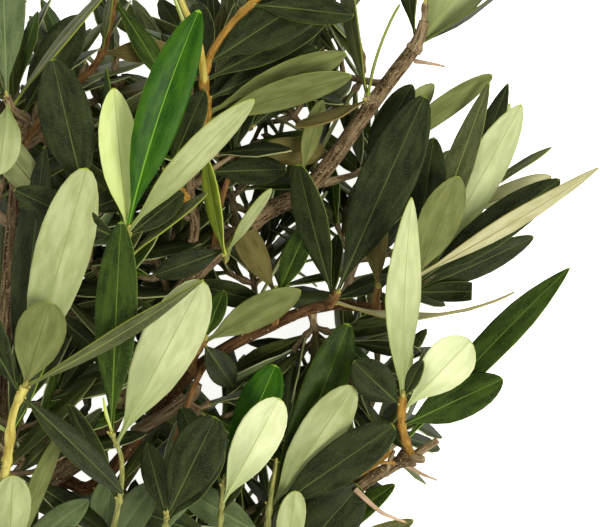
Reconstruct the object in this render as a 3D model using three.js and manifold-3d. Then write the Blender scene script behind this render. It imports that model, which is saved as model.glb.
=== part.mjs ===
// A leafy olive branch as it was cut, lying on the ground. Millimetres, +Z up, lowest point at Z = 0.
// The stem runs from its flat cut at the lower left to three boughs. Each shoot is one solid:
// a three-sided twig that starts 0.3 mm clear of its limb, with its leaves fused on.

import * as THREE from "three";
import Module from "manifold-3d";

const wasm = await Module();
wasm.setup();

// Limbs and twigs
const GAP = 0.3;
const LIMB_SIDES = 8;
const LIMB_STEP = 9;
const BURR_LENGTH = 9;
const TWIG_SIDES = 3;
const TWIG_STEP = 13;
const TWIG_FOOT_RADIUS = 1.5;
const TWIG_TIP_RADIUS = 0.9;

// Leaves
const LEAF_THICKNESS = 0.9;
const PETIOLE_WIDTH = 1.6;
const BLADE_PLACES = [0, 0.34, 0.78];
const RULE_PLACES = [0, 0.56];
const LEAF_FOLD = 9;
const CLEARANCE = 0.35;
const GUARD_START = 0.14;
const RISE_TRIES = [0, 4, -4, 8, -8, 12, -12, 17, -17, 23];
const RULE_TRIES = [0, 8, -8, 16, -16];
const SPREAD = 46;
const SPREAD_PLAY = 13;
const SPREAD_DROP = 14;
const SPIN_PLAY = 30;
const FLATTENING = 0.6;
const LENGTH_PLAY = 0.16;
const LENGTH_DROP = 0.25;
const WIDTH_SHARES = [0.21, 0.28];
const BENDS = [6, 18];
const PAIR_SPAN = [0.22, 0.97];
const SKY_BIAS = 0.75;
const SEED = 20731;

// Outline of a blade: how far past its middle it is widest, and how round it is.
const BELLY = 1.3;
const ROUNDNESS = 0.62;

// Shoots that grow by rule: where their bends lie, and how soon they sink.
const WILD_BENDS = [0.3, 0.65, 1];
const SINKING = 0.8;

// Leaves are kept out of open places at these fractions of their length, by this share of their width.
const OPEN_TESTS = [0.35, 0.55, 0.75, 1];
const OPEN_MARGIN = 0.3;

// Finishes
const BARK_COLOUR = 0x82695a;
const BARK_ROUGHNESS = 0.85;
const LEAF_COLOUR = 0x3f5230;
const LEAF_ROUGHNESS = 0.5;

// Limbs: the limb each one grows from and how far along it, its foot and tip radius, and its bends.
const LIMBS = {
  main_stem: { radii: [4.6, 3.9], path: [[-150, -126, 4.7], [-122, -104, 12], [-94, -80, 27], [-68, -61, 43]] },
  bough_upper: {
    on: ["main_stem", 1], radii: [3.4, 2.4],
    path: [[-42, -12, 55], [-15, 14.5, 58], [4, 26.5, 60], [25, 54.5, 64], [38, 71.5, 67]],
  },
  bough_middle: {
    on: ["main_stem", 0.8], radii: [2.4, 1.6],
    path: [[-68, -74, 34], [-36.7, -37, 48], [-8, -20, 52], [10, -14, 54], [26, -14.8, 56], [35, -11, 57]],
  },
  bough_lower: {
    on: ["main_stem", 0.33], radii: [2.8, 2.1], burr: 3.9,
    path: [[-104, -112, 13], [-64, -118, 20], [-26, -108, 31], [1, -90, 42], [20.5, -74.5, 50], [37, -64.5, 55]],
  },
  limb_left: {
    on: ["main_stem", 0.6], radii: [2.4, 1.5],
    path: [[-100, -58, 50], [-96, -12, 80], [-91, 35, 92], [-88, 46, 95]],
  },
  limb_front: { on: ["main_stem", 0.4], radii: [1.9, 1.5], path: [[-114, -84, 45], [-103, -80, 76], [-96, -72, 92]] },
  limb_centre: { on: ["bough_upper", 0.25], radii: [1.9, 1.5], path: [[-35, 13, 62], [-36.5, 24, 65], [-35, 39, 69]] },
};

// Shoots: the limb and how far along it, the twig's bends, and the leaves that give the branch its outline.
// Each leaf: place along the twig, heading and rise in degrees, length, width, roll in degrees
// (0 shows the upper side from above, 180 the underside), bend in degrees, then sideways sag and cut, if any.
const SHOOTS = {
  shoot_upper_tip: {
    on: ["bough_upper", 1], path: [[40.5, 78, 69], [41.3, 86, 71]],
    leaves: [
      [0.1, 96, 8, 46, 12, 58, 15], [0.07, 50, 6, 56, 16, 172, 12], [0.05, 37, 0, 50, 10, -80, 26],
      [0.9, 82, -6, 30, 8, 20, 10],
    ],
  },
  shoot_upper_mid: {
    on: ["bough_upper", 0.8], path: [[23, 54, 71], [21.5, 54, 74]],
    leaves: [
      [0.6, 99, 4, 50, 11, 64, 18], [0.8, 71, 5, 33, 8, 86, 22], [0.5, 199, -4, 26, 9, 112, 10],
    ],
  },
  shoot_upper_side: {
    on: ["bough_upper", 0.62], path: [[19, 30, 57.5], [23, 33, 57]],
    leaves: [
      [1, 36, 2, 51, 9, 150, 10], [0.6, 8, -6, 28, 9, 20, 10], [0.9, 51, -1, 36, 10, 155, 8],
      [0.7, 60, -6, 33, 11, 14, 8],
    ],
  },
  shoot_upper_low: {
    on: ["bough_upper", 0.58], path: [[1, 29, 66], [0, 30, 69]],
    leaves: [[0.8, 74, 2, 26, 7, 150, 8]],
  },
  shoot_upper_inner: {
    on: ["bough_upper", 0.34], path: [[-24, 5, 66], [-24.5, 1, 71]],
    leaves: [[0.9, 101, 5, 34, 8, 48, 12], [0.7, 55, 3, 26, 6, 130, 6], [0.5, 200, 0, 26, 9, 10, 8]],
  },
  shoot_centre_tip: {
    on: ["limb_centre", 1], path: [[-30.7, 49.5, 72], [-31.5, 60, 75], [-29, 69, 77], [-21, 80, 79], [-11, 89, 80]],
    leaves: [
      [0.12, 49, -8, 28, 13, 12, 8], [0.14, 17, 1, 52, 12, 140, 10], [0.2, 23, -5, 50, 11, 150, 8],
      [0.28, 27, -10, 44, 11, 10, 8], [0.4, 27, -13, 46, 11, 20, 8], [0.52, 33, -2, 52, 18, 8, 10],
      [0.48, 111, 3, 46, 7, 100, 10], [0.36, 96, -9, 30, 12, 20, 6], [0.85, 60, 4, 34, 10, 20, 8],
      [0.9, -6, -13, 34, 10, 14, 8], [0.98, 30, 4, 28, 8, 140, 8],
    ],
  },
  shoot_centre_left: {
    on: ["limb_centre", 0.62], path: [[-41, 27, 68], [-44, 30, 70]],
    leaves: [[0.9, 66, 2, 31, 10, 18, 8], [0.7, 128, 2, 38, 12, 10, 10], [0.8, 178, -4, 34, 10, 150, 8]],
  },
  shoot_centre_right: {
    on: ["limb_centre", 0.72], path: [[-28, 32, 64], [-18, 38.5, 60]],
    leaves: [
      [0.95, -2, -5, 28, 10, 165, 6], [0.35, 2, -6, 26, 10, 12, 6], [0.8, 75, -8, 30, 9, 20, 8],
    ],
  },
  shoot_middle_low: {
    on: ["bough_middle", 0.34], path: [[-35, -31, 58], [-31.5, -25, 66]],
    leaves: [
      [0.9, 28, 5, 37, 12, 155, 8], [0.95, 68, 2, 18, 7, 15, 5], [0.9, -56, -10, 18, 10, 15, 8],
      [0.7, 150, -4, 34, 11, 14, 8],
    ],
  },
  shoot_middle_inner: {
    on: ["bough_middle", 0.5], path: [[-8, -14, 61], [-8, -9, 66]],
    leaves: [[0.9, 118, 2, 29, 10, 160, 6, 0, 0.78], [0.7, 66, 6, 30, 9, 25, 6], [0.5, 165, -6, 28, 9, 18, 6]],
  },
  shoot_middle_node: {
    on: ["bough_middle", 0.67], path: [[11, -12, 60], [12.5, -9.5, 65]],
    leaves: [
      [0.6, 105, 16, 50, 12, 26, 10], [0.5, 86, -8, 22, 7, 50, 5], [0.4, 22, -10, 22, 8, 40, 5],
      [0.9, 66, 3, 72, 19, 6, 12], [0.35, 3, -2, 62, 11, -98, 46],
    ],
  },
  shoot_middle_side: {
    on: ["bough_middle", 0.83], path: [[25.5, -12, 61], [26, -8, 65]],
    leaves: [[0.9, 91, 2, 31, 10, 145, 8]],
  },
  shoot_middle_tip: {
    on: ["bough_middle", 1], path: [[37.5, -8.5, 62], [39, -3, 66]],
    leaves: [
      [0.5, 82, 0, 51, 14, 15, 10], [0.8, 68, 7, 38, 14.5, 168, 10], [0.9, 31, 10, 70, 8.5, 145, 10],
      [0.6, 39.5, -5, 59, 13, 10, 10], [0.35, 24, -9, 46, 11, -30, 8], [0.35, 1, -3, 25, 8, -25, 5, 0, 0.82],
    ],
  },
  shoot_middle_back: {
    on: ["bough_middle", 0.95], path: [[40, -8, 51], [49, 3, 50], [55.5, 20, 47]],
    leaves: [
      [0.3, 71, 9, 74, 10, 12, 10], [0.42, 62, 1, 68, 14, 172, 10], [0.97, 16, -2, 30, 9, 165, 8, 0.04],
      [1, 33, -8, 34, 6, 60, 8], [0.7, 70, -14, 60, 11, 20, 8], [0.8, 66, -12, 53, 11, 150, 8],
    ],
  },
  shoot_lower_upright: {
    on: ["bough_lower", 1], path: [[34.5, -57, 64], [33.5, -51, 67], [34, -44, 70]],
    leaves: [
      [0.9, 88, 7, 70, 13, 150, 14], [0.75, 47, 15, 34, 16, 176, 14], [0.5, 25, -1, 37, 14, 12, 12],
      [0.95, 64, -2, 15, 6, 40, 5], [0.72, 83, -3, 26, 6, 130, 5],
      [0.25, 46, 3, 80, 12, 28, 14], [0.85, 137, 6, 22, 13, 10, 12],
    ],
  },
  shoot_front_c: {
    on: ["bough_lower", 0.6], path: [[-11, -92, 56], [-10, -80, 65], [-8, -66, 66]],
    leaves: [
      [0.62, 56, 13, 50, 15, 170, 10], [0.6, 35, 2, 51, 15, 8, 12], [0.5, 68, -4, 72, 15, -12, 10],
      [0.5, 70, 2, 24, 9, 165, 5], [0.65, 100, -8, 22, 6, 60, 5], [0.35, 150, 0, 34, 12, 14, 8],
    ],
  },
  shoot_front_b: {
    on: ["bough_lower", 0.5], path: [[-27, -97, 56], [-26, -81, 70], [-25, -71, 71]],
    leaves: [
      [0.7, 62, 14, 44, 15, 176, 10], [0.97, 66, -3, 42, 14, -5, 12], [0.6, 73, -8, 24, 9, 10, 5],
      [0.45, 160, 4, 34, 11, 20, 8], [0.9, 118, -4, 30, 10, 16, 8],
    ],
  },
  shoot_front_a: {
    on: ["bough_lower", 0.42], path: [[-47, -101, 62], [-44, -87, 86], [-43, -81, 90]],
    leaves: [
      [0.9, 64, 5, 37, 17, 5, 12], [0.75, 60, -6, 34, 15, 15, 10], [0.6, 72, -2, 36, 13, -15, 10],
      [0.95, 106, -3, 25, 9, 15, 8], [0.5, 190, 2, 36, 11, 165, 8],
    ],
  },
  shoot_front_tall: {
    on: ["bough_lower", 0.3], path: [[-66, -101, 60], [-59, -80, 92], [-57, -64, 100], [-60, -54, 104]],
    leaves: [
      [0.9, 62, 9, 60, 19, 174, 12], [1, 87, 3, 68, 14, 8, 10], [0.22, 82, 16, 34, 13, 16, 8],
      [0.3, 56, 10, 30, 12, 20, 8], [0.55, 117, 0, 35, 8, 20, 8], [0.98, 102, 14, 14, 4, 90, 5],
    ],
  },
  shoot_left_front: {
    on: ["limb_front", 1], path: [[-93, -60, 103], [-91, -48, 109], [-87, -39, 112]],
    leaves: [
      [1, 74, 3, 72, 18, 176, 8], [0.97, 72, 14, 30, 16, 172, 8], [0.85, 85, -5, 82, 13, 12, 8],
      [1, 31, -3, 66, 7, -45, 12], [0.45, 66, -4, 32, 8, 60, 8], [0.9, -45, -10, 46, 9, 20, 10],
      [0.9, 118, 2, 44, 13, 14, 8], [0.5, 150, 2, 44, 12, 170, 10], [0.25, 200, 4, 40, 12, 16, 8],
    ],
  },
  shoot_left_low: {
    on: ["limb_front", 0.72], path: [[-97, -95, 82], [-94, -97, 88]],
    leaves: [
      [0.9, 85, 4, 31, 13, 172, 8], [0.95, 68, -2, 47, 8, 140, 8], [0.85, 37, -8, 33, 10, 20, 8],
      [0.6, -40, -4, 42, 12, 14, 8], [0.7, 170, 0, 44, 12, 160, 8],
    ],
  },
  shoot_tall: {
    on: ["bough_upper", 0.06], path: [[-61, -42, 76], [-54, -22, 98], [-54.5, 4, 110], [-54.5, 11, 112]],
    leaves: [
      [0.94, 95.5, 4, 46, 13, 165, 8], [0.99, 71.5, 7, 73, 15, -14, 14], [0.96, 46, 5, 58, 12, 140, 14],
      [0.8, 98, -6, 60, 8, 50, 8], [0.72, 40, -11, 33, 8, 66, 8],
      [0.85, 40, -15, 24, 9, 15, 5], [0.8, 155, 0, 40, 12, 12, 8],
    ],
  },
  shoot_left_inner: {
    on: ["limb_left", 0.52], path: [[-80, 8, 98], [-67, 20, 106]],
    leaves: [[0.97, 103, 7, 47, 17, 6, 10], [0.7, 130, 3, 44, 12, 160, 10], [0.8, 20, -6, 34, 10, 14, 8]],
  },
  shoot_left_tip: {
    on: ["limb_left", 1], path: [[-92.5, 50, 99], [-93.5, 53.5, 102]],
    leaves: [
      [0.5, 49, 10, 56, 7, 62, 10], [1, 91, 4, 52, 15, 10, 8], [0.15, 60, -6, 38, 14, 12, 8],
      [0.8, 263, -3, 24, 12, 165, 8], [0.8, 122, 0, 44, 12, 12, 8], [0.7, 140, -8, 40, 12, 14, 8],
    ],
  },
  shoot_top: {
    on: ["limb_left", 0.8], path: [[-79, 52, 88], [-66, 66, 82], [-62, 78, 82], [-60, 90, 83]],
    leaves: [
      [0.55, 3, -7, 24, 8, 160, 5], [0.92, -58, -5, 32, 8, 30, 8], [0.55, 78, 4, 30, 6, 60, 5],
      [0.8, 120, 2, 36, 11, 14, 8], [0.9, 40, 2, 36, 11, 170, 8], [0.98, 82, 3, 34, 9, 20, 8],
    ],
  },
  shoot_lower_right: {
    on: ["bough_lower", 0.57], path: [[-4, -99, 49], [-5, -103, 55]],
    leaves: [
      [1, 49, 2, 38, 19, 10, 8], [0.9, 20, -2, 46, 10, -40, 10], [0.7, 36, -8, 44, 9, 20, 8],
      [1, 83, 14, 33, 10, 165, 8], [0.6, -70, -8, 40, 12, 14, 8],
    ],
  },
};

// Shoots that grow by rule alone, under the others and past them: the limb and how far along it, heading,
// length, height of the tip, pairs of leaves, and the length of a leaf.
const RULE_SHOOTS = {
  under_top: { on: ["bough_upper", 0.66], heading: 128, length: 56, tip: 12, pairs: 5, leaf: 40 },
  under_tip: { on: ["bough_upper", 0.84], heading: 158, length: 40, tip: 8, pairs: 4, leaf: 38 },
  under_centre: { on: ["bough_upper", 0.36], heading: 104, length: 62, tip: 10, pairs: 5, leaf: 44 },
  under_right: { on: ["bough_middle", 0.7], heading: 68, length: 44, tip: 6, pairs: 4, leaf: 36 },
  under_left: { on: ["bough_upper", 0.12], heading: 148, length: 60, tip: 9, pairs: 5, leaf: 46 },
  under_far_left: { on: ["limb_left", 0.42], heading: 72, length: 62, tip: 14, pairs: 5, leaf: 46 },
  under_middle: { on: ["bough_middle", 0.3], heading: -38, length: 50, tip: 8, pairs: 4, leaf: 42 },
  under_inner: { on: ["bough_middle", 0.46], heading: 96, length: 44, tip: 12, pairs: 4, leaf: 40 },
  under_lower: { on: ["bough_lower", 0.82], heading: 78, length: 40, tip: 8, pairs: 4, leaf: 38 },
  under_front: { on: ["bough_lower", 0.55], heading: 100, length: 46, tip: 8, pairs: 4, leaf: 42 },
  left_low: { on: ["main_stem", 0.5], heading: 140, length: 50, tip: 10, pairs: 5, leaf: 48 },
  left_mid: { on: ["limb_left", 0.3], heading: 142, length: 46, tip: 34, pairs: 5, leaf: 48 },
  left_high: { on: ["limb_left", 0.62], heading: 136, length: 42, tip: 66, pairs: 5, leaf: 46 },
  left_far: { on: ["limb_left", 0.9], heading: 150, length: 32, tip: 40, pairs: 4, leaf: 44 },
  front_far: { on: ["limb_front", 0.5], heading: 172, length: 34, tip: 62, pairs: 4, leaf: 46 },
  lower_a: { on: ["bough_lower", 0.34], heading: 80, length: 38, tip: 36, pairs: 3, leaf: 40 },
  lower_b: { on: ["bough_lower", 0.5], heading: -30, length: 34, tip: 36, pairs: 4, leaf: 40 },
  fill_middle: { on: ["bough_middle", 0.6], heading: -78, length: 30, tip: 34, pairs: 4, leaf: 36 },
  fill_high: { on: ["limb_left", 0.76], heading: 38, length: 40, tip: 58, pairs: 4, leaf: 44 },
  fill_left: { on: ["limb_left", 0.5], heading: 24, length: 38, tip: 52, pairs: 4, leaf: 44 },
  fill_front: { on: ["limb_front", 0.8], heading: 74, length: 42, tip: 62, pairs: 4, leaf: 44 },
  fill_centre: { on: ["limb_centre", 0.4], heading: 164, length: 36, tip: 46, pairs: 4, leaf: 42 },
  fill_bough: { on: ["bough_upper", 0.2], heading: 118, length: 40, tip: 34, pairs: 4, leaf: 42 },
  fill_low: { on: ["main_stem", 0.86], heading: 176, length: 44, tip: 30, pairs: 4, leaf: 46 },
  fill_tip: { on: ["limb_centre", 0.8], heading: 62, length: 40, tip: 50, pairs: 4, leaf: 40 },
};

// Open places seen from above, where no leaf that grows by rule passes: middle and radius.
const OPEN_PLACES = [
  [80, 75, 40], [102, 20, 42], [80, -45, 34], [78, -88, 34], [60, -26, 9], [26, 78, 8], [11, 7, 3.5], [-57, 74, 4],
  [-88, 62, 3], [-73, 80, 4], [-50, 65, 3], [-16, 44, 5], [-2, 48, 4], [-34, -40, 5], [-73, -72, 6], [-62, -66, 3],
  [-67, -57, 2], [-13, -72, 3],
];

const Z = new THREE.Vector3(0, 0, 1);
const FRAME_REFERENCE = new THREE.Vector3(0.3, -0.5, 0.8);
const { degToRad: radians, lerp } = THREE.MathUtils;
const vector = (point) => new THREE.Vector3(...point);

// A repeatable stream of numbers from 0 to 1.
function seededStream(seed) {
  let state = seed >>> 0;
  return () => {
    state = (state + 0x6d2b79f5) >>> 0;
    let mixed = Math.imul(state ^ (state >>> 15), state | 1);
    mixed = (mixed + Math.imul(mixed ^ (mixed >>> 7), mixed | 61)) ^ mixed;
    return ((mixed ^ (mixed >>> 14)) >>> 0) / 4294967296;
  };
}

// The part of one vector that stands square to another, at unit length.
function squareTo(direction, axis) {
  return direction.clone().addScaledVector(axis, -direction.dot(axis)).normalize();
}

// Places along a smooth path with a frame carried along it, so that the sides don't twist.
// The first frame faces straight out of the carrier.
function framesAlong(points, count, out) {
  const curve = new THREE.CatmullRomCurve3(points, false, "catmullrom", 0.5);
  const frames = [];
  let normal = FRAME_REFERENCE;
  for (let i = 0; i <= count; i++) {
    const tangent = i === 0 && out ? out : curve.getTangent(i / count).normalize();
    normal = squareTo(normal, tangent);
    frames.push({ place: curve.getPoint(i / count), tangent, normal, side: tangent.clone().cross(normal) });
  }
  return frames;
}

// One frame at a fraction of a path.
function frameAt(points, fraction) {
  const curve = new THREE.CatmullRomCurve3(points, false, "catmullrom", 0.5);
  const tangent = curve.getTangent(fraction).normalize();
  const normal = squareTo(FRAME_REFERENCE, tangent);
  return { place: curve.getPoint(fraction), tangent, normal, side: tangent.clone().cross(normal) };
}

// A closed skin over rings of points. Each ring turns anticlockwise as seen from the far end,
// and the last ring may be a single point.
function skinOver(rings) {
  const count = rings[0].length;
  const points = rings.flat();
  const faces = [];
  for (let i = 0; i + 1 < rings.length; i++) {
    const pointed = rings[i + 1].length === 1;
    for (let j = 0; j < count; j++) {
      const a = i * count + j;
      const b = i * count + ((j + 1) % count);
      faces.push(pointed ? [a, b, (i + 1) * count] : [a, b, b + count]);
      if (!pointed) faces.push([a, b + count, a + count]);
    }
  }
  const last = (rings.length - 1) * count;
  for (let j = 1; j + 1 < count; j++) {
    faces.push([0, j + 1, j]);
    if (rings.at(-1).length > 1) faces.push([last, last + j, last + j + 1]);
  }
  const vertProperties = new Float32Array(points.flatMap((p) => [p.x, p.y, p.z]));
  return new wasm.Manifold(new wasm.Mesh({ numProp: 3, vertProperties, triVerts: new Uint32Array(faces.flat()) }));
}

// A tapering round limb or three-sided twig. A burr swells its last stretch.
function tube({ points, out }, radii, sides, step, burr = 0) {
  const length = new THREE.CatmullRomCurve3(points, false, "catmullrom", 0.5).getLength();
  const count = Math.max(3, Math.round(length / step));
  const rings = framesAlong(points, count, out).map((frame, i) => {
    const fraction = i / count;
    const swell = burr * Math.exp(-((((1 - fraction) * length) / BURR_LENGTH) ** 2));
    const radius = Math.max(lerp(...radii, fraction), swell);
    return Array.from({ length: sides }, (_, j) => {
      const angle = (2 * Math.PI * j) / sides;
      return frame.place.clone()
        .addScaledVector(frame.normal, radius * Math.cos(angle))
        .addScaledVector(frame.side, radius * Math.sin(angle));
    });
  });
  return skinOver(rings);
}

// The path of a new limb or twig: its foot stands square to its carrier and clear of its bark, or off its tip.
function pathFrom([name, fraction], bends) {
  const carrier = limbs[name];
  const frame = frameAt(carrier.points, fraction);
  const tip = fraction === 1;
  const out = tip ? frame.tangent : squareTo(bends[0].clone().sub(frame.place), frame.tangent);
  const reach = GAP + (tip ? 0 : lerp(...carrier.radii, fraction));
  return { points: [frame.place.clone().addScaledVector(out, reach), ...bends], out };
}

// Half the width of a blade at a fraction of its length, as a share of the widest half width.
function bladeShare(fraction) {
  return Math.sin(Math.PI * fraction ** BELLY) ** ROUNDNESS;
}

// The rings of one leaf, or of its guard, which is thicker all round and may start off the twig.
function leafRings(leaf, guard = 0, start = 0) {
  const bend = radians(leaf.bend);
  const arc = leaf.length * (bend / 2) / Math.sin(bend / 2);
  const across = leaf.up.clone().cross(leaf.along);
  const fold = radians(LEAF_FOLD);
  const thick = LEAF_THICKNESS / 2 + guard;
  const end = leaf.cut ?? 1;
  const places = leaf.places.map((p) => Math.max(p, start)).filter((p) => p < end);
  return [...places, end].map((t) => {
    const turn = bend * (0.5 - t);
    const sag = 4 * leaf.sag * leaf.length * t * (1 - t);
    const middle = leaf.root.clone()
      .addScaledVector(leaf.along, (arc / bend) * (Math.sin(bend / 2) - Math.sin(turn)))
      .addScaledVector(leaf.up, (arc / bend) * (Math.cos(turn) - Math.cos(bend / 2)))
      .addScaledVector(across, sag);
    const normal = leaf.up.clone().multiplyScalar(Math.cos(turn)).addScaledVector(leaf.along, -Math.sin(turn));
    const half = Math.max((leaf.width / 2) * bladeShare(t), PETIOLE_WIDTH / 2) + guard;
    const low = middle.z - Math.abs(across.z) * half - thick;
    middle.z += Math.max(0, -low);
    if (t === 1) return [middle];
    const edge = (sign) => middle.clone()
      .addScaledVector(across, sign * half * Math.cos(fold))
      .addScaledVector(normal, half * Math.sin(fold));
    return [edge(1), middle.clone().addScaledVector(normal, thick), edge(-1), middle.addScaledVector(normal, -thick)];
  });
}

// A leaf from its place on a twig, its heading and rise, and the roll of its upper side.
function shownLeaf(points, [at, heading, rise, length, width, roll, bend, sag = 0, cut], lift = 0) {
  const climb = radians(rise + lift);
  const turn = radians(heading);
  const along = new THREE.Vector3(
    Math.cos(climb) * Math.cos(turn), Math.cos(climb) * Math.sin(turn), Math.sin(climb),
  );
  const up = squareTo(Z, along).applyAxisAngle(along, -radians(roll));
  return { root: frameAt(points, at).place, along, up, length, width, bend, sag, cut, places: BLADE_PLACES };
}

// Leaves in pairs, each pair square to the one before, their upper sides towards the tip and the sky.
function pairedLeaves(points, shoot, random) {
  const leaves = [];
  for (let pair = 0; pair < shoot.pairs; pair++) {
    const share = pair / Math.max(1, shoot.pairs - 1);
    const frame = frameAt(points, lerp(...PAIR_SPAN, share));
    const spin = (pair % 2) * 90 + SPIN_PLAY * (random() - 0.5);
    for (const half of [0, 180]) {
      const around = radians(spin + half);
      const out = frame.normal.clone().multiplyScalar(Math.cos(around))
        .addScaledVector(frame.side, Math.sin(around));
      const spread = radians(SPREAD + SPREAD_PLAY * (2 * random() - 1) - SPREAD_DROP * share);
      const along = frame.tangent.clone().multiplyScalar(Math.cos(spread)).addScaledVector(out, Math.sin(spread));
      along.z *= FLATTENING;
      along.normalize();
      const length = shoot.leaf * (1 + LENGTH_PLAY * (2 * random() - 1)) * (1 - LENGTH_DROP * share);
      const width = length * lerp(...WIDTH_SHARES, random());
      const up = squareTo(frame.tangent.clone().addScaledVector(Z, SKY_BIAS), along);
      const bend = lerp(...BENDS, random());
      leaves.push({ root: frame.place, along, up, length, width, bend, sag: 0, places: RULE_PLACES });
    }
  }
  return leaves;
}

const boxesMeet = (a, b) => [0, 1, 2].every((i) => a.min[i] <= b.max[i] && b.min[i] <= a.max[i]);

// Whether two solids share any space.
function solidsMeet(a, b) {
  return boxesMeet(a.boundingBox(), b.boundingBox()) && a.intersect(b).volume() > 1e-3;
}

// Whether a leaf is clear of the wood and of other shoots, and its outer part of its own shoot's leaves.
function isClear(around, outer, shootName) {
  if (Object.values(limbs).some((limb) => solidsMeet(around, limb.solid))) return false;
  return placed.every((other) => (
    other.shoot === shootName ? !solidsMeet(outer, other.outer) : !solidsMeet(around, other.solid)
  ));
}

// Whether a leaf keeps out of the open places.
function keepsOpen(leaf) {
  return OPEN_TESTS.every((t) => {
    const spot = leaf.root.clone().addScaledVector(leaf.along, leaf.length * t);
    const margin = t < 1 ? leaf.width * OPEN_MARGIN : 0;
    return OPEN_PLACES.every(([x, y, r]) => Math.hypot(spot.x - x, spot.y - y) > r + margin);
  });
}

// Places a leaf at the first of several poses that is clear, and leaves it out if there is none.
function placeLeaf(shootName, poses) {
  for (const leaf of poses) {
    const outer = skinOver(leafRings(leaf, CLEARANCE, GUARD_START));
    if (!isClear(skinOver(leafRings(leaf, CLEARANCE)), outer, shootName)) continue;
    placed.push({ shoot: shootName, outer, solid: skinOver(leafRings(leaf)) });
    return;
  }
}

// The same leaf turned up or down about its root.
function liftedLeaf(leaf, degrees) {
  const across = leaf.up.clone().cross(leaf.along);
  const turn = (v) => v.clone().applyAxisAngle(across, -radians(degrees));
  return { ...leaf, along: turn(leaf.along), up: turn(leaf.up) };
}

// A mesh of one solid's outer skin, so that hollows sealed by fusing are filled and scraps are dropped.
function meshOf(name, solid, colour, roughness) {
  const bodies = solid.decompose().sort((a, b) => b.volume() - a.volume());
  const { vertProperties, triVerts } = bodies[0].getMesh();
  const geometry = new THREE.BufferGeometry()
    .setAttribute("position", new THREE.BufferAttribute(new Float32Array(vertProperties), 3))
    .setIndex(new THREE.BufferAttribute(new Uint32Array(triVerts), 1));
  geometry.computeVertexNormals();
  const mesh = new THREE.Mesh(geometry, new THREE.MeshStandardMaterial({ color: colour, roughness, metalness: 0 }));
  mesh.name = name;
  return mesh;
}

const limbs = {};
const placed = [];
const shoots = {};

for (const [name, { on, radii, path, burr }] of Object.entries(LIMBS)) {
  const bends = path.map(vector);
  const route = on ? pathFrom(on, bends) : { points: bends };
  limbs[name] = { points: route.points, radii, solid: tube(route, radii, LIMB_SIDES, LIMB_STEP, burr) };
}

// The bends of a shoot that grows by rule: out along its heading while it sinks to its tip's height.
function rulePath({ on, heading, length, tip }) {
  const start = frameAt(limbs[on[0]].points, on[1]).place;
  const turn = radians(heading);
  return WILD_BENDS.map((t) => new THREE.Vector3(
    start.x + length * t * Math.cos(turn), start.y + length * t * Math.sin(turn),
    lerp(start.z, tip, t ** SINKING),
  ));
}

for (const [name, shoot] of Object.entries({ ...SHOOTS, ...RULE_SHOOTS })) {
  const bends = shoot.path ? shoot.path.map(vector) : rulePath(shoot);
  const route = pathFrom(shoot.on, bends);
  const twig = tube(route, [TWIG_FOOT_RADIUS, TWIG_TIP_RADIUS], TWIG_SIDES, TWIG_STEP);
  shoots[name] = { ...shoot, points: route.points };
  placed.push({ shoot: name, outer: twig, solid: twig });
}

for (const [name, shoot] of Object.entries(shoots)) {
  for (const row of shoot.leaves ?? []) {
    placeLeaf(name, RISE_TRIES.map((lift) => shownLeaf(shoot.points, row, lift)));
  }
}

const random = seededStream(SEED);
for (const [name, shoot] of Object.entries(shoots)) {
  for (const leaf of shoot.pairs ? pairedLeaves(shoot.points, shoot, random) : []) {
    placeLeaf(name, RULE_TRIES.map((lift) => liftedLeaf(leaf, lift)).filter(keepsOpen));
  }
}

const branch = new THREE.Group();
branch.name = "olive_branch";
for (const [name, { solid }] of Object.entries(limbs)) {
  branch.add(meshOf(name, solid, BARK_COLOUR, BARK_ROUGHNESS));
}
for (const name of Object.keys(shoots)) {
  const fused = placed.filter((piece) => piece.shoot === name).map((piece) => piece.solid);
  branch.add(meshOf(name, fused.reduce((whole, piece) => whole.add(piece)), LEAF_COLOUR, LEAF_ROUGHNESS));
}

// The branch lies on the ground, with the origin under the middle of its length and breadth.
const box = new THREE.Box3().setFromObject(branch);
branch.position.copy(box.getCenter(new THREE.Vector3())).negate().setZ(-box.min.z);

export default branch;
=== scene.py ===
"""A cut leafy olive branch lying on a pale floor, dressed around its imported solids.

The branch grows here by the same rule as the solids, in millimetres in the rule's own frame, and is
carried to finer twigs and leaves. Each limb gets bark with relief, each twig its young bark and buds,
and each leaf its blade, midrib and margin. Everything is then moved to the part's frame, in metres.
"""

import logging
import math
from collections.abc import Iterable, Sequence
from dataclasses import dataclass, field, replace
from enum import Enum

import bmesh
import bpy
from bpy.types import ID, Material, Mesh, Node, NodeSocket, NodeTree, Object
from mathutils import Color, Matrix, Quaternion, Vector
from mathutils.bvhtree import BVHTree


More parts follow.
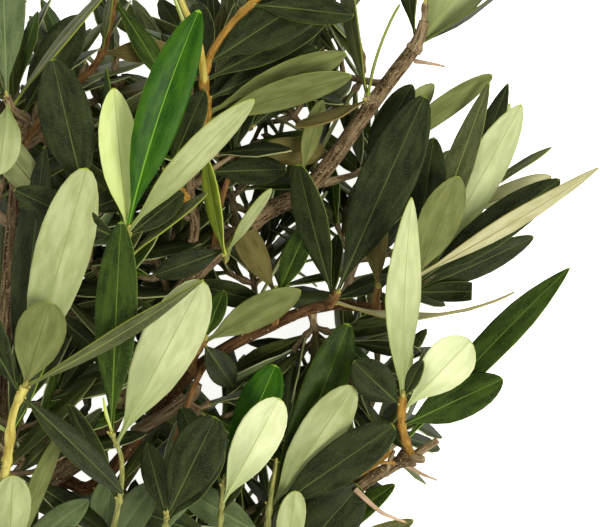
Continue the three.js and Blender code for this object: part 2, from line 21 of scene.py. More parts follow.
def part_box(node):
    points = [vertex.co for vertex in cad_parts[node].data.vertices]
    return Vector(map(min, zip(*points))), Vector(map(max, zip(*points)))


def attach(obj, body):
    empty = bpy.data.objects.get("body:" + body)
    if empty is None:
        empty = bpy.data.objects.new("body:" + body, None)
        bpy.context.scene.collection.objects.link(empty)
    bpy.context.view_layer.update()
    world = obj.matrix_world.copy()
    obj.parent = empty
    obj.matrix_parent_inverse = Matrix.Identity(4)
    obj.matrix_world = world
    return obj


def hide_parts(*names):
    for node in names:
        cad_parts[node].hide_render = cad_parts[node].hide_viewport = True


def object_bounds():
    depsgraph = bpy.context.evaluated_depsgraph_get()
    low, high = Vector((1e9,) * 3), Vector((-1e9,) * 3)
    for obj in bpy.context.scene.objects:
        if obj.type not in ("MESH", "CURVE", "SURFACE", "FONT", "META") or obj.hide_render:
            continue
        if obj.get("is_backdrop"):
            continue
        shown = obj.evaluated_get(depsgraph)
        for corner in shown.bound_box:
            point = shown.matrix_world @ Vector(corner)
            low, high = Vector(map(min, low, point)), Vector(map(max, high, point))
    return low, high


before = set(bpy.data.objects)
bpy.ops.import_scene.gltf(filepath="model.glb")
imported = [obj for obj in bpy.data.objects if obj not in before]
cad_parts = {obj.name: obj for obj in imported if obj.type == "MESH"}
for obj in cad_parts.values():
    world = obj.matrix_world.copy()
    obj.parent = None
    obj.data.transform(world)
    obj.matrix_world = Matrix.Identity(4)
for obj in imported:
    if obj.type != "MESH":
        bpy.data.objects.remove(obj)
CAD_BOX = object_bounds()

log = logging.getLogger("olive_branch")

MM = 0.001
BODY = "root"
SKY = Vector((0, 0, 1))

# Limbs and twigs of the rule
GAP = 0.3
LIMB_SIDES = 8
LIMB_STEP = 9
BURR_LENGTH = 9
FEWEST_STRETCHES = 3
TWIG_SIDES = 3
TWIG_STEP = 13
TWIG_FOOT_RADIUS = 1.5
TWIG_TIP_RADIUS = 0.9

# Leaves of the rule
LEAF_THICKNESS = 0.9
PETIOLE_WIDTH = 1.6
BLADE_PLACES = (0, 0.34, 0.78)
RULE_PLACES = (0, 0.56)
LEAF_FOLD = 9
CLEARANCE = 0.35
GUARD_START = 0.14
RISE_TRIES = (0, 4, -4, 8, -8, 12, -12, 17, -17, 23)
RULE_TRIES = (0, 8, -8, 16, -16)
SPREAD = 46
SPREAD_PLAY = 13
SPREAD_DROP = 14
SPIN_PLAY = 30
FLATTENING = 0.6
LENGTH_PLAY = 0.16
LENGTH_DROP = 0.25
WIDTH_SHARES = (0.21, 0.28)
BENDS = (6, 18)
PAIR_SPAN = (0.22, 0.97)
SKY_BIAS = 0.75
SEED = 20731
BELLY = 1.3
ROUNDNESS = 0.62
SLENDER = 0.2
LANCE_SHARE = 0.35
WILD_BENDS = (0.3, 0.65, 1)
SINKING = 0.8
OPEN_TESTS = (0.35, 0.55, 0.75, 1)
OPEN_MARGIN = 0.3

# Side twigs on the shoots that grow by rule
SIDE_PLACES = (0.22, 0.4, 0.58, 0.76, 0.94)
SIDE_LENGTH = (12, 22)
SIDE_RADII = (1.0, 0.7)
SIDE_PAIRS = 3
SIDE_LEAF = 0.78
SIDE_RISE = (-0.25, 0.45)
SIDE_LEAN = (0.4, 0.9)
SIDE_MIDDLE = 0.5
SIDE_CURL = 0.3
SIDE_LOWEST = 2.4
SIDE_TRIES = (0, 9, -9, 18, -18, 27, -27)
EDGE = 1

Row = tuple[float, ...]
Point = tuple[float, float, float]
Colour = tuple[int, int, int]
Paint = tuple[float, float, float, float]


class LeafKind(Enum):
    """The kinds of leaf, by age and by the side that shows; the undersides' tones are partly painted light
    and shade.
    """

    DARK = "dark"
    OLIVE = "olive"
    FRESH = "fresh"
    GRASS = "grass"
    # Its grey-blue upper side is partly the leaf's own tint and partly a painted sheen.
    BLUE = "blue"
    PALE = "pale"
    SILVER = "silver"
    SAGE = "sage"
    MOSS = "moss"
    # Its dark brownish underside is painted shade.
    BEIGE = "beige"
    BROWN = "brown"
    YOUNG = "young"


class LeafForm(Enum):
    """Outlines of a blade: where it is widest, how round it is, and how long its wedge-shaped foot is."""

    OVAL = (1.36, 0.6, 0.38)
    LANCE = (1.16, 0.76, 0.26)
    SPOON = (1.9, 0.56, 0.5)
    BLUNT = (1.6, 0.5, 0.4)
    BROAD = (1, 0.5, 0.2)


class TwigKind(Enum):
    """The kinds of young bark."""

    GREY = "grey"
    ORANGE = "orange"
    GREEN = "green"
    RED = "red"
    YELLOW = "yellow"
    DRY = "dry"


# The radii of a shoot's twig at its foot and its tip, by its bark.
TWIG_RADII = {
    TwigKind.GREY: (1.3, 0.8),
    TwigKind.ORANGE: (1.5, 1.0),
    TwigKind.GREEN: (1.1, 0.7),
    TwigKind.RED: (1.4, 1.0),
    TwigKind.YELLOW: (1.6, 1.1),
    TwigKind.DRY: (0.8, 0.4),
}


@dataclass(frozen=True)
class LimbRule:
    """One limb: its foot and tip radius, its bends, and the limb and place that it grows from."""

    radii: tuple[float, float]
    path: tuple[Point, ...]
    on: tuple[str, float] | None = None
    burr: float = 0


@dataclass(frozen=True)
class ShootRule:
    """One shoot: the limb and place that it grows from, its bends, its leaves and what they look like.

    Each leaf: place along the twig, heading and rise in degrees, length, width, roll in degrees
    (0 shows the upper side from above, 180 the underside), bend in degrees, then sideways sag and cut.
    """

    on: tuple[str, float]
    path: tuple[Point, ...]
    leaves: tuple[Row, ...]
    kinds: str
    bark: TwigKind = TwigKind.GREY


@dataclass(frozen=True)
class WildRule:
    """A shoot that grows by rule alone: heading, length, height of the tip, pairs of leaves, leaf length."""

    on: tuple[str, float]
    heading: float
    length: float
    tip: float
    pairs: int
    leaf: float


@dataclass(frozen=True)
class SpurRule:
    """A stub, stalk or dry bract that the solids leave out: what it is on, its path, radii and bark."""

    on: str
    path: tuple[Point, ...]
    radii: tuple[float, float]
    bark: TwigKind = TwigKind.GREY


LIMBS = {
    "main_stem": LimbRule((4.6, 3.9), ((-150, -126, 4.7), (-122, -104, 12), (-94, -80, 27), (-68, -61, 43))),
    "bough_upper": LimbRule(
        (3.4, 2.4), ((-42, -12, 55), (-15, 14.5, 58), (4, 26.5, 60), (25, 54.5, 64), (38, 71.5, 67)),
        on=("main_stem", 1),
    ),
    "bough_middle": LimbRule(
        (2.4, 1.6),
        ((-68, -74, 34), (-36.7, -37, 48), (-8, -20, 52), (10, -14, 54), (26, -14.8, 56), (35, -11, 57)),
        on=("main_stem", 0.8),
    ),
    "bough_lower": LimbRule(
        (2.8, 2.1),
        (
            (-104, -112, 13), (-64, -118, 20), (-26, -108, 31), (1, -90, 42), (20.5, -74.5, 50),
            (37, -64.5, 55),
        ),
        on=("main_stem", 0.33), burr=3.9,
    ),
    "limb_left": LimbRule(
        (2.4, 1.5), ((-100, -58, 50), (-96, -12, 80), (-91, 35, 92), (-88, 46, 95)), on=("main_stem", 0.6),
    ),
    "limb_front": LimbRule(
        (1.9, 1.5), ((-114, -84, 45), (-103, -80, 76), (-96, -72, 92)), on=("main_stem", 0.4),
    ),
    "limb_centre": LimbRule(
        (1.9, 1.5), ((-35, 13, 62), (-36.5, 24, 65), (-35, 39, 69)), on=("bough_upper", 0.25),
    ),
}

SHOOTS = {
    "shoot_upper_tip": ShootRule(
        ("bough_upper", 1), ((40.5, 78, 69), (41.3, 86, 71)), (
            (0.1, 96, 8, 46, 12, 58, 15), (0.07, 50, 6, 56, 16, 172, 12), (0.05, 37, 0, 50, 10, -80, 26),
            (0.9, 82, -6, 30, 8, 20, 10),
        ), "dark sage:broad dark dark",
    ),
    "shoot_upper_mid": ShootRule(
        ("bough_upper", 0.8), ((23, 54, 71), (21.5, 54, 74)), (
            (0.6, 99, 4, 50, 11, 64, 18), (0.8, 71, 5, 33, 8, 86, 22), (0.5, 199, -4, 26, 9, 112, 10),
        ), "olive olive brown",
    ),
    "shoot_upper_side": ShootRule(
        ("bough_upper", 0.62), ((19, 30, 57.5), (23, 33, 57)), (
            (1, 36, 2, 51, 9, 150, 10), (0.6, 8, -6, 28, 9, 20, 10), (0.9, 51, -1, 36, 10, 155, 8),
            (0.7, 60, -6, 33, 11, 14, 8),
        ), "moss:blunt dark olive dark",
    ),
    "shoot_upper_low": ShootRule(
        ("bough_upper", 0.58), ((1, 29, 66), (0, 30, 69)),
        ((0.8, 74, 2, 26, 7, 150, 8),),
        "moss",
    ),
    "shoot_upper_inner": ShootRule(
        ("bough_upper", 0.34), ((-24, 5, 66), (-24.5, 1, 71)),
        ((0.9, 101, 5, 34, 8, 48, 12), (0.7, 55, 3, 26, 6, 130, 6), (0.5, 200, 0, 26, 9, 10, 8)),
        "young sage dark", TwigKind.GREEN,
    ),
    "shoot_centre_tip": ShootRule(
        ("limb_centre", 1), ((-30.7, 49.5, 72), (-31.5, 60, 75), (-29, 69, 77), (-21, 80, 79), (-11, 89, 80)),
        (
            (0.12, 49, -8, 28, 13, 12, 8), (0.14, 17, 1, 52, 12, 140, 10), (0.2, 23, -5, 50, 11, 150, 8),
            (0.28, 27, -10, 44, 11, 10, 8), (0.4, 27, -13, 46, 11, 20, 8), (0.52, 33, -2, 52, 18, 8, 10),
            (0.48, 111, 3, 46, 7, 100, 10), (0.36, 96, -9, 30, 12, 20, 6), (0.85, 60, 4, 34, 10, 20, 8),
            (0.9, -6, -13, 34, 10, 14, 8), (0.98, 30, 4, 28, 8, 140, 8),
        ), "dark moss moss dark dark dark young dark:blunt dark dark olive", TwigKind.ORANGE,
    ),
    "shoot_centre_left": ShootRule(
        ("limb_centre", 0.62), ((-41, 27, 68), (-44, 30, 70)),
        ((0.9, 66, 2, 31, 10, 18, 8), (0.7, 128, 2, 38, 12, 10, 10), (0.8, 178, -4, 34, 10, 150, 8)),
        "dark dark sage", TwigKind.ORANGE,
    ),
    "shoot_centre_right": ShootRule(
        ("limb_centre", 0.72), ((-28, 32, 64), (-18, 38.5, 60)),
        ((0.95, -2, -5, 28, 10, 165, 6), (0.35, 2, -6, 26, 10, 12, 6), (0.8, 75, -8, 30, 9, 20, 8)),
        "brown dark dark",
    ),
    "shoot_middle_low": ShootRule(
        ("bough_middle", 0.34), ((-35, -31, 58), (-31.5, -25, 66)), (
            (0.9, 28, 5, 37, 12, 155, 8), (0.95, 68, 2, 18, 7, 15, 5), (0.9, -56, -10, 18, 10, 15, 8),
            (0.7, 150, -4, 34, 11, 14, 8),
        ), "moss grass dark dark", TwigKind.RED,
    ),
    "shoot_middle_inner": ShootRule(
        ("bough_middle", 0.5), ((-8, -14, 61), (-8, -9, 66)),
        ((0.9, 118, 2, 29, 10, 160, 6, 0, 0.78), (0.7, 66, 6, 30, 9, 25, 6), (0.5, 165, -6, 28, 9, 18, 6)),
        "brown grass dark", TwigKind.RED,
    ),
    "shoot_middle_node": ShootRule(
        ("bough_middle", 0.67), ((11, -12, 60), (12.5, -9.5, 65)), (
            (0.6, 105, 16, 50, 12, 26, 10), (0.5, 86, -8, 22, 7, 50, 5), (0.4, 22, -10, 22, 8, 40, 5),
            (0.9, 66, 3, 72, 19, 6, 12), (0.35, 3, -2, 62, 11, -98, 46),
        ), "dark:blunt dark dark dark beige", TwigKind.RED,
    ),
    "shoot_middle_side": ShootRule(
        ("bough_middle", 0.83), ((25.5, -12, 61), (26, -8, 65)),
        ((0.9, 91, 2, 31, 10, 145, 8),), "brown", TwigKind.RED,
    ),
    "shoot_middle_tip": ShootRule(
        ("bough_middle", 1), ((37.5, -8.5, 62), (39, -3, 66)), (
            (0.5, 82, 0, 51, 14, 15, 10), (0.8, 68, 7, 38, 14.5, 168, 10),
            (0.9, 31, 10, 70, 7.2, 145, 10, 0.03), (0.6, 36, -5, 61, 13, 10, 10),
            (0.35, 24, -9, 46, 11, -30, 8), (0.35, 1, -3, 25, 8, -25, 5, 0, 0.82),
        ), "dark moss beige dark dark dark", TwigKind.RED,
    ),
    "shoot_middle_back": ShootRule(
        ("bough_middle", 0.95), ((40, -8, 51), (49, 3, 50), (55.5, 20, 47)), (
            (0.3, 71, 9, 74, 10, 12, 10), (0.42, 62, 1, 68, 14, 172, 10), (0.97, 20, -2, 32, 9, 165, 8, 0.04),
            (1, 33, -8, 36, 5, 60, 8), (0.7, 70, -14, 60, 11, 20, 8), (0.8, 66, -12, 53, 11, 150, 8),
        ), "olive silver beige olive dark sage",
    ),
    "shoot_lower_upright": ShootRule(
        ("bough_lower", 1), ((34.5, -57, 64), (33.5, -51, 67), (34, -44, 70)), (
            (0.9, 88, 7, 70, 13, 150, 14), (0.75, 47, 15, 34, 16, 176, 14), (0.5, 25, -1, 37, 14, 12, 12),
            (0.95, 64, -2, 15, 6, 40, 5), (0.72, 83, -3, 26, 6, 130, 5),
            (0.25, 46, 3, 80, 12, 28, 14), (0.85, 137, 6, 22, 13, 10, 12),
        ), "silver pale:spoon grass dark young grass dark", TwigKind.ORANGE,
    ),
    "shoot_front_c": ShootRule(
        ("bough_lower", 0.6), ((-11, -92, 56), (-10, -80, 65), (-8, -66, 66)), (
            (0.62, 56, 13, 50, 15, 170, 10), (0.6, 35, 2, 51, 15, 8, 12), (0.5, 68, -4, 72, 15, -12, 10),
            (0.5, 70, 2, 24, 9, 165, 5), (0.65, 100, -8, 22, 6, 60, 5), (0.35, 150, 0, 34, 12, 14, 8),
        ), "sage:blunt dark:blunt grass:blunt moss dark blue", TwigKind.GREEN,
    ),
    "shoot_front_b": ShootRule(
        ("bough_lower", 0.5), ((-27, -97, 56), (-26, -81, 70), (-25, -71, 71)), (
            (0.7, 62, 14, 44, 15, 176, 10), (0.97, 66, -3, 42, 14, -5, 12), (0.6, 73, -8, 24, 9, 10, 5),
            (0.45, 160, 4, 34, 11, 20, 8), (0.9, 118, -4, 30, 10, 16, 8),
        ), "pale:blunt fresh:blunt dark dark dark", TwigKind.GREEN,
    ),
    "shoot_front_a": ShootRule(
        ("bough_lower", 0.42), ((-47, -101, 62), (-44, -87, 86), (-43, -81, 90)), (
            (0.9, 64, 5, 37, 17, 5, 12), (0.75, 60, -6, 34, 15, 15, 10), (0.6, 72, -2, 36, 13, -15, 10),
            (0.95, 106, -3, 25, 9, 15, 8), (0.5, 190, 2, 36, 11, 165, 8),
        ), "dark:blunt dark:blunt blue dark moss", TwigKind.GREEN,
    ),
    "shoot_front_tall": ShootRule(
        ("bough_lower", 0.3), ((-66, -101, 60), (-59, -80, 92), (-57, -64, 100), (-60, -54, 104)), (
            (0.9, 62, 9, 60, 19, 174, 12), (1, 87, 3, 68, 14, 8, 10), (0.22, 82, 16, 34, 13, 16, 8),
            (0.3, 56, 10, 30, 12, 20, 8), (0.55, 117, 0, 35, 8, 20, 8), (0.98, 102, 14, 14, 4, 90, 5),
        ), "silver:blunt grass blue:blunt blue:blunt dark young", TwigKind.GREEN,
    ),
    "shoot_left_front": ShootRule(
        ("limb_front", 1), ((-93, -60, 103), (-91, -48, 109), (-87, -39, 112)), (
            (1, 74, 3, 72, 18, 176, 8), (0.97, 72, 14, 30, 16, 172, 8), (0.85, 85, -5, 82, 13, 12, 8),
            (1, 31, -3, 66, 7, -45, 12), (0.45, 66, -4, 32, 8, 60, 8), (0.9, -45, -10, 46, 9, 20, 10),
            (0.9, 118, 2, 44, 13, 14, 8), (0.5, 150, 2, 44, 12, 170, 10), (0.25, 200, 4, 40, 12, 16, 8),
        ), "sage:blunt moss:blunt dark olive grass dark dark sage dark", TwigKind.YELLOW,
    ),
    "shoot_left_low": ShootRule(
        ("limb_front", 0.72), ((-97, -95, 82), (-94, -97, 88)), (
            (0.9, 85, 4, 31, 13, 172, 8), (0.95, 68, -2, 47, 8, 140, 8), (0.85, 37, -8, 33, 10, 20, 8),
            (0.6, -40, -4, 42, 12, 14, 8), (0.7, 170, 0, 44, 12, 160, 8),
        ), "sage:blunt moss blue dark sage", TwigKind.GREEN,
    ),
    "shoot_tall": ShootRule(
        ("bough_upper", 0.06), ((-61, -42, 76), (-54, -22, 98), (-54.5, 4, 110), (-54.5, 11, 112)), (
            (0.94, 95.5, 4, 46, 13, 165, 8), (0.99, 71.5, 7, 73, 15, -14, 14, 0.03),
            (0.96, 46, 5, 58, 12, 140, 14), (0.8, 98, -6, 60, 8, 50, 8), (0.72, 40, -11, 33, 8, 66, 8),
            (0.85, 40, -15, 24, 9, 15, 5), (0.8, 155, 0, 40, 12, 12, 8),
        ), "young fresh sage grass olive dark dark", TwigKind.GREEN,
    ),
    "shoot_left_inner": ShootRule(
        ("limb_left", 0.52), ((-80, 8, 98), (-67, 20, 106)),
        ((0.97, 103, 7, 47, 17, 6, 10), (0.7, 130, 3, 44, 12, 160, 10), (0.8, 20, -6, 34, 10, 14, 8)),
        "dark dark dark",
    ),
    "shoot_left_tip": ShootRule(
        ("limb_left", 1), ((-92.5, 50, 99), (-93.5, 53.5, 102)), (
            (0.5, 49, 10, 56, 7, 62, 10), (1, 91, 4, 52, 15, 10, 8), (0.15, 60, -6, 38, 14, 12, 8),
            (0.8, 263, -3, 24, 12, 165, 8), (0.8, 122, 0, 44, 12, 12, 8), (0.7, 140, -8, 40, 12, 14, 8),
        ), "olive blue dark sage dark dark",
    ),
    "shoot_top": ShootRule(
        ("limb_left", 0.8), ((-79, 52, 88), (-66, 66, 82), (-62, 78, 82), (-60, 90, 83)), (
            (0.55, 3, -7, 24, 8, 160, 5), (0.92, -58, -5, 32, 8, 30, 8), (0.55, 78, 4, 30, 6, 60, 5),
            (0.8, 120, 2, 36, 11, 14, 8), (0.9, 40, 2, 36, 11, 170, 8), (0.98, 82, 3, 34, 9, 20, 8),
        ), "brown grass olive dark sage dark", TwigKind.RED,
    ),
    "shoot_lower_right": ShootRule(
        ("bough_lower", 0.57), ((-4, -99, 49), (-5, -103, 55)), (
            (1, 49, 2, 38, 19, 10, 8), (0.9, 20, -2, 46, 10, -40, 10), (0.7, 36, -8, 44, 9, 20, 8),
            (1, 83, 14, 33, 10, 165, 8), (0.6, -70, -8, 40, 12, 14, 8),
        ), "dark:blunt beige grass sage:blunt dark",
    ),
}

WILD_SHOOTS = {
    name: WildRule((limb, at), *sizes) for name, limb, at, *sizes in (
        ("under_top", "bough_upper", 0.66, 128, 56, 12, 5, 40),
        ("under_tip", "bough_upper", 0.84, 158, 40, 8, 4, 38),
        ("under_centre", "bough_upper", 0.36, 104, 62, 10, 5, 44),
        ("under_right", "bough_middle", 0.7, 68, 44, 6, 4, 36),
        ("under_left", "bough_upper", 0.12, 148, 60, 9, 5, 46),
        ("under_far_left", "limb_left", 0.42, 72, 62, 14, 5, 46),
        ("under_middle", "bough_middle", 0.3, -38, 50, 8, 4, 42),
        ("under_inner", "bough_middle", 0.46, 96, 44, 12, 4, 40),
        ("under_lower", "bough_lower", 0.82, 78, 40, 8, 4, 38),
        ("under_front", "bough_lower", 0.55, 100, 46, 8, 4, 42),
        ("left_low", "main_stem", 0.5, 140, 50, 10, 5, 48),
        ("left_mid", "limb_left", 0.3, 142, 46, 34, 5, 48),
        ("left_high", "limb_left", 0.62, 136, 42, 66, 5, 46),
        ("left_far", "limb_left", 0.9, 150, 32, 40, 4, 44),
        ("front_far", "limb_front", 0.5, 172, 34, 62, 4, 46),
        ("lower_a", "bough_lower", 0.34, 80, 38, 36, 3, 40),
        ("lower_b", "bough_lower", 0.5, -30, 34, 36, 4, 40),
        ("fill_middle", "bough_middle", 0.6, -78, 30, 34, 4, 36),
        ("fill_high", "limb_left", 0.76, 38, 40, 58, 4, 44),
        ("fill_left", "limb_left", 0.5, 24, 38, 52, 4, 44),
        ("fill_front", "limb_front", 0.8, 74, 42, 62, 4, 44),
        ("fill_centre", "limb_centre", 0.4, 164, 36, 46, 4, 42),
        ("fill_bough", "bough_upper", 0.2, 118, 40, 34, 4, 42),
        ("fill_low", "main_stem", 0.86, 176, 44, 30, 4, 46),
        ("fill_tip", "limb_centre", 0.8, 62, 40, 50, 4, 40),
    )
}

SPURS = (
    SpurRule("bough_lower", ((37, -65, 55), (41.5, -62, 57), (46, -59, 58)), (1.6, 1.2)),
    SpurRule("bough_lower", ((37, -64, 56), (39.5, -65.2, 58), (41.3, -65.4, 59)), (1.7, 1.3)),
    SpurRule("bough_lower", ((33, -66, 55), (40, -70, 57), (46, -72.5, 57)), (0.9, 0.3), TwigKind.DRY),
    SpurRule("bough_lower", ((33, -67, 54), (29, -66.5, 57), (26, -67, 57)), (0.8, 0.4), TwigKind.ORANGE),
    SpurRule("bough_lower", ((29, -71, 53), (30, -66, 56), (31.5, -62.5, 57)), (1.0, 0.6), TwigKind.GREY),
    SpurRule(
        "bough_lower", ((2, -93.5, 38), (9, -79.5, 31), (18, -74.5, 31), (31, -64, 33)), (2.0, 1.4),
        TwigKind.ORANGE,
    ),
    SpurRule(
        "bough_middle", ((-56, -57, 42), (-46, -51, 52), (-36.5, -44.5, 56), (-34.5, -40, 57)), (2.1, 2.0),
    ),
    SpurRule("bough_middle", ((-28, -30, 52), (-34, -38, 58), (-42, -60, 60)), (1.2, 0.8), TwigKind.RED),
    SpurRule("bough_upper", ((37, 70, 66.4), (39.6, 75, 68.2), (41, 80, 69.6)), (2.4, 1.7)),
    SpurRule("bough_upper", ((38, 67, 67), (43, 66, 70), (48, 65, 70)), (0.8, 0.3), TwigKind.DRY),
    SpurRule(
        "shoot_lower_right",
        ((18.5, -75.5, 57.2), (22.5, -79.2, 58.2), (27, -83, 57.6), (31, -84.8, 58.2), (35, -86.4, 56.5)),
        (1, 0.4), TwigKind.DRY,
    ),
    SpurRule("bough_upper", ((-29, 2, 58), (-26, 22, 60), (-20, 38, 60)), (1.3, 0.8), TwigKind.RED),
    SpurRule(
        "shoot_centre_tip",
        ((-31.3, 59, 75), (-32.5, 69.5, 80), (-34.2, 75.5, 82), (-38, 84, 84), (-42, 95, 85)),
        (1.3, 0.9), TwigKind.YELLOW,
    ),
)

RULES = {**LIMBS, **SHOOTS, **WILD_SHOOTS}

# Open places seen from above, where no leaf that grows by rule passes: middle and radius.
OPEN_PLACES = (
    (80, 75, 40), (102, 20, 42), (80, -45, 34), (78, -88, 34), (60, -26, 9), (26, 78, 8), (11, 7, 3.5),
    (-57, 74, 4), (-88, 62, 3), (-73, 80, 4), (-50, 65, 3), (-16, 44, 5), (-2, 48, 4), (-34, -40, 5),
    (-73, -72, 6), (-62, -66, 3), (-67, -57, 2), (-13, -72, 3),
)


class SeededStream:
    """A repeatable stream of numbers from 0 to 1, the same as the solids' own."""

    MASK = 0xFFFFFFFF
    STEP = 0x6D2B79F5
    SHIFTS = (15, 7, 14)
    MIXER = 61

    def __init__(self, seed: int) -> None:
        """Starts the stream from any whole number."""
        self.state = seed & self.MASK

    def draw(self) -> float:
        """Moves the stream on.

        Returns:
            The next number.
        """
        first, second, third = self.SHIFTS
        self.state = (self.state + self.STEP) & self.MASK
        mixed = ((self.state ^ (self.state >> first)) * (self.state | 1)) & self.MASK
        mixed = ((mixed + (mixed ^ (mixed >> second)) * (mixed | self.MIXER)) & self.MASK) ^ mixed
        return ((mixed ^ (mixed >> third)) & self.MASK) / (self.MASK + 1)

    def between(self, low: float, high: float) -> float:
        """Returns the next number, spread over a range."""
        return low + (high - low) * self.draw()


def square_to(direction: Vector, axis: Vector) -> Vector:
    """Returns the part of one vector that stands square to another, at unit length."""
    return (direction - axis * direction.dot(axis)).normalized()


def turned(direction: Vector, axis: Vector, degrees: float) -> Vector:
    """Returns a vector turned about an axis by an angle in degrees."""
    return Quaternion(axis, math.radians(degrees)) @ direction


def mix(start: float, end: float, share: float) -> float:
    """Returns the value that lies a share of the way from one value to another."""
    return start + (end - start) * share


@dataclass
class Station:
    """One place on a path, with the frame carried along it."""

    place: Vector
    tangent: Vector
    normal: Vector
    side: Vector


class SmoothPath:
    """A smooth curve through a few points."""

    REFERENCE = Vector((0.3, -0.5, 0.8))
    NUDGE = 0.0001
    LENGTH_STEPS = 200

    def __init__(self, points: Sequence[Vector]) -> None:
        """Keeps the points that the curve runs through, at least three of them, foot first."""
        self.points = [Vector(point) for point in points]

    def point(self, fraction: float) -> Vector:
        """Works out one place on the curve.

        Args:
            fraction: How far along the path, from 0 to 1.

        Returns:
            The place.
        """
        last = len(self.points) - 1
        place = fraction * last
        index = min(int(place), last - 1)
        w = place - index
        x1, x2 = self.points[index], self.points[index + 1]
        x0 = self.points[index - 1] if index > 0 else x1 * 2 - x2
        x3 = self.points[index + 2] if index + 2 <= last else x2 * 2 - x1
        t0, t1 = (x2 - x0) / 2, (x3 - x1) / 2
        return x1 + t0 * w + (x2 * 3 - x1 * 3 - t0 * 2 - t1) * w**2 + (x1 * 2 - x2 * 2 + t0 + t1) * w**3

    def tangent(self, fraction: float) -> Vector:
        """Returns the direction at a fraction of the path."""
        ahead = self.point(min(1, fraction + self.NUDGE))
        return (ahead - self.point(max(0, fraction - self.NUDGE))).normalized()

    def length(self) -> float:
        """Returns the length of the path."""
        places = [self.point(i / self.LENGTH_STEPS) for i in range(self.LENGTH_STEPS + 1)]
        return sum((b - a).length for a, b in zip(places, places[1:]))

    def station(self, fraction: float) -> Station:
        """Works out the frame at one place.

        Args:
            fraction: How far along the path, from 0 to 1.

        Returns:
            The place with its tangent, normal and side.
        """
        tangent = self.tangent(fraction)
        normal = square_to(self.REFERENCE, tangent)
        return Station(self.point(fraction), tangent, normal, tangent.cross(normal))

    def stations(self, count: int, out: Vector | None = None) -> list[Station]:
        """Returns evenly numbered frames along the path, carried so that the sides don't twist.

        Args:
            count: How many stretches the path is divided into.
            out: The way the first frame faces, where a path starts square to its carrier.

        Returns:
            One frame more than there are stretches.
        """
        normal = self.REFERENCE
        found = []
        for i in range(count + 1):
            tangent = out if i == 0 and out is not None else self.tangent(i / count)
            normal = square_to(normal, tangent)
            found.append(Station(self.point(i / count), tangent, normal, tangent.cross(normal)))
        return found


class Skin:
    """A closed coarse skin over rings of points, which tells whether it meets another."""

    def __init__(self, rings: Sequence[Sequence[Vector]]) -> None:
        """Skins the rings.

        Args:
            rings: Rings of as many points each, of which the last may be a single point.
        """
        count = len(rings[0])
        self.points = [point for ring in rings for point in ring]
        faces = []
        for i, above in enumerate(rings[1:]):
            for j in range(count):
                a, b = i * count + j, i * count + (j + 1) % count
                faces.append((a, b, (i + 1) * count) if len(above) == 1 else (a, b, b + count, a + count))
        faces.append(tuple(reversed(range(count))))
        self.tree = BVHTree.FromPolygons(self.points, faces)
        self.low = [min(p[i] for p in self.points) for i in range(3)]
        self.high = [max(p[i] for p in self.points) for i in range(3)]

    def meets(self, other: "Skin") -> bool:
        """Returns whether the two skins cross."""
        apart = any(self.low[i] > other.high[i] or other.low[i] > self.high[i] for i in range(3))
        return not apart and bool(self.tree.overlap(other.tree))


def tube_skin(
    path: SmoothPath, out: Vector | None, radii: tuple[float, float], sides: int, step: float
) -> Skin:
    """Skins a tapering limb or twig as coarsely as the solids have it.

    Args:
        path: Its path.
        out: The way its foot faces, where it starts square to its carrier.
        radii: Its radii at the foot and the tip.
        sides: How many sides it has.
        step: About how long each of its stretches is.

    Returns:
        The closed skin.
    """
    length = path.length()
    count = max(FEWEST_STRETCHES, round(length / step))
    rings = []
    for i, at in enumerate(path.stations(count, out)):
        radius = mix(*radii, i / count)
        angles = [2 * math.pi * j / sides for j in range(sides)]
        rings.append([
            at.place + at.normal * radius * math.cos(a) + at.side * radius * math.sin(a) for a in angles
        ])
    return Skin(rings)


@dataclass
class Leaf:
    """One leaf: where it is rooted, the way it points and faces, and its sizes in millimetres."""

    root: Vector
    along: Vector
    up: Vector
    length: float
    width: float
    bend: float
    sag: float = 0
    cut: float = 1
    places: Sequence[float] = BLADE_PLACES
    kind: LeafKind = LeafKind.DARK
    form: LeafForm = LeafForm.OVAL
    near: bool = False
    shoot: str = ""

    def across(self) -> Vector:
        """Returns the direction to the left of the blade."""
        return self.up.cross(self.along)

    def lifted(self, degrees: float) -> "Leaf":
        """Returns the same leaf turned up or down about its root."""
        axis = self.across()
        return replace(self, along=turned(self.along, axis, -degrees), up=turned(self.up, axis, -degrees))

    def skin(self, guard: float = 0, start: float = 0) -> Skin:
        """Returns the leaf's coarse skin.

        Args:
            guard: How much thicker it is all round.
            start: Where along the leaf it starts.

        Returns:
            The closed skin that the solids' rule gives this leaf.
        """
        bend, fold = math.radians(self.bend), math.radians(LEAF_FOLD)
        reach = self.length / (2 * math.sin(bend / 2))
        across = self.across()
        thick = LEAF_THICKNESS / 2 + guard
        rings = []
        for t in [*(p for p in (max(q, start) for q in self.places) if p < self.cut), self.cut]:
            turn = bend * (0.5 - t)
            middle = self.root + self.along * reach * (math.sin(bend / 2) - math.sin(turn))
            middle += self.up * reach * (math.cos(turn) - math.cos(bend / 2))
            middle += across * 4 * self.sag * self.length * t * (1 - t)
            normal = self.up * math.cos(turn) - self.along * math.sin(turn)
            share = max(0, math.sin(math.pi * t**BELLY)) ** ROUNDNESS
            half = max(self.width / 2 * share, PETIOLE_WIDTH / 2) + guard
            middle.z += max(0, abs(across.z) * half + thick - middle.z)
            if t == 1:
                rings.append([middle])
                continue
            rise = normal * half * math.sin(fold)
            left, right = (middle + across * sign * half * math.cos(fold) + rise for sign in (1, -1))
            rings.append([left, middle + normal * thick, right, middle - normal * thick])
        return Skin(rings)


@dataclass
class Twig:
    """One twig: its path, the way its foot faces, its radii, its bark and the node it belongs to."""

    path: SmoothPath
    out: Vector | None
    radii: tuple[float, float]
    bark: TwigKind
    shoot: str
    swellings: list[float] = field(default_factory=list)
    thin: bool = False


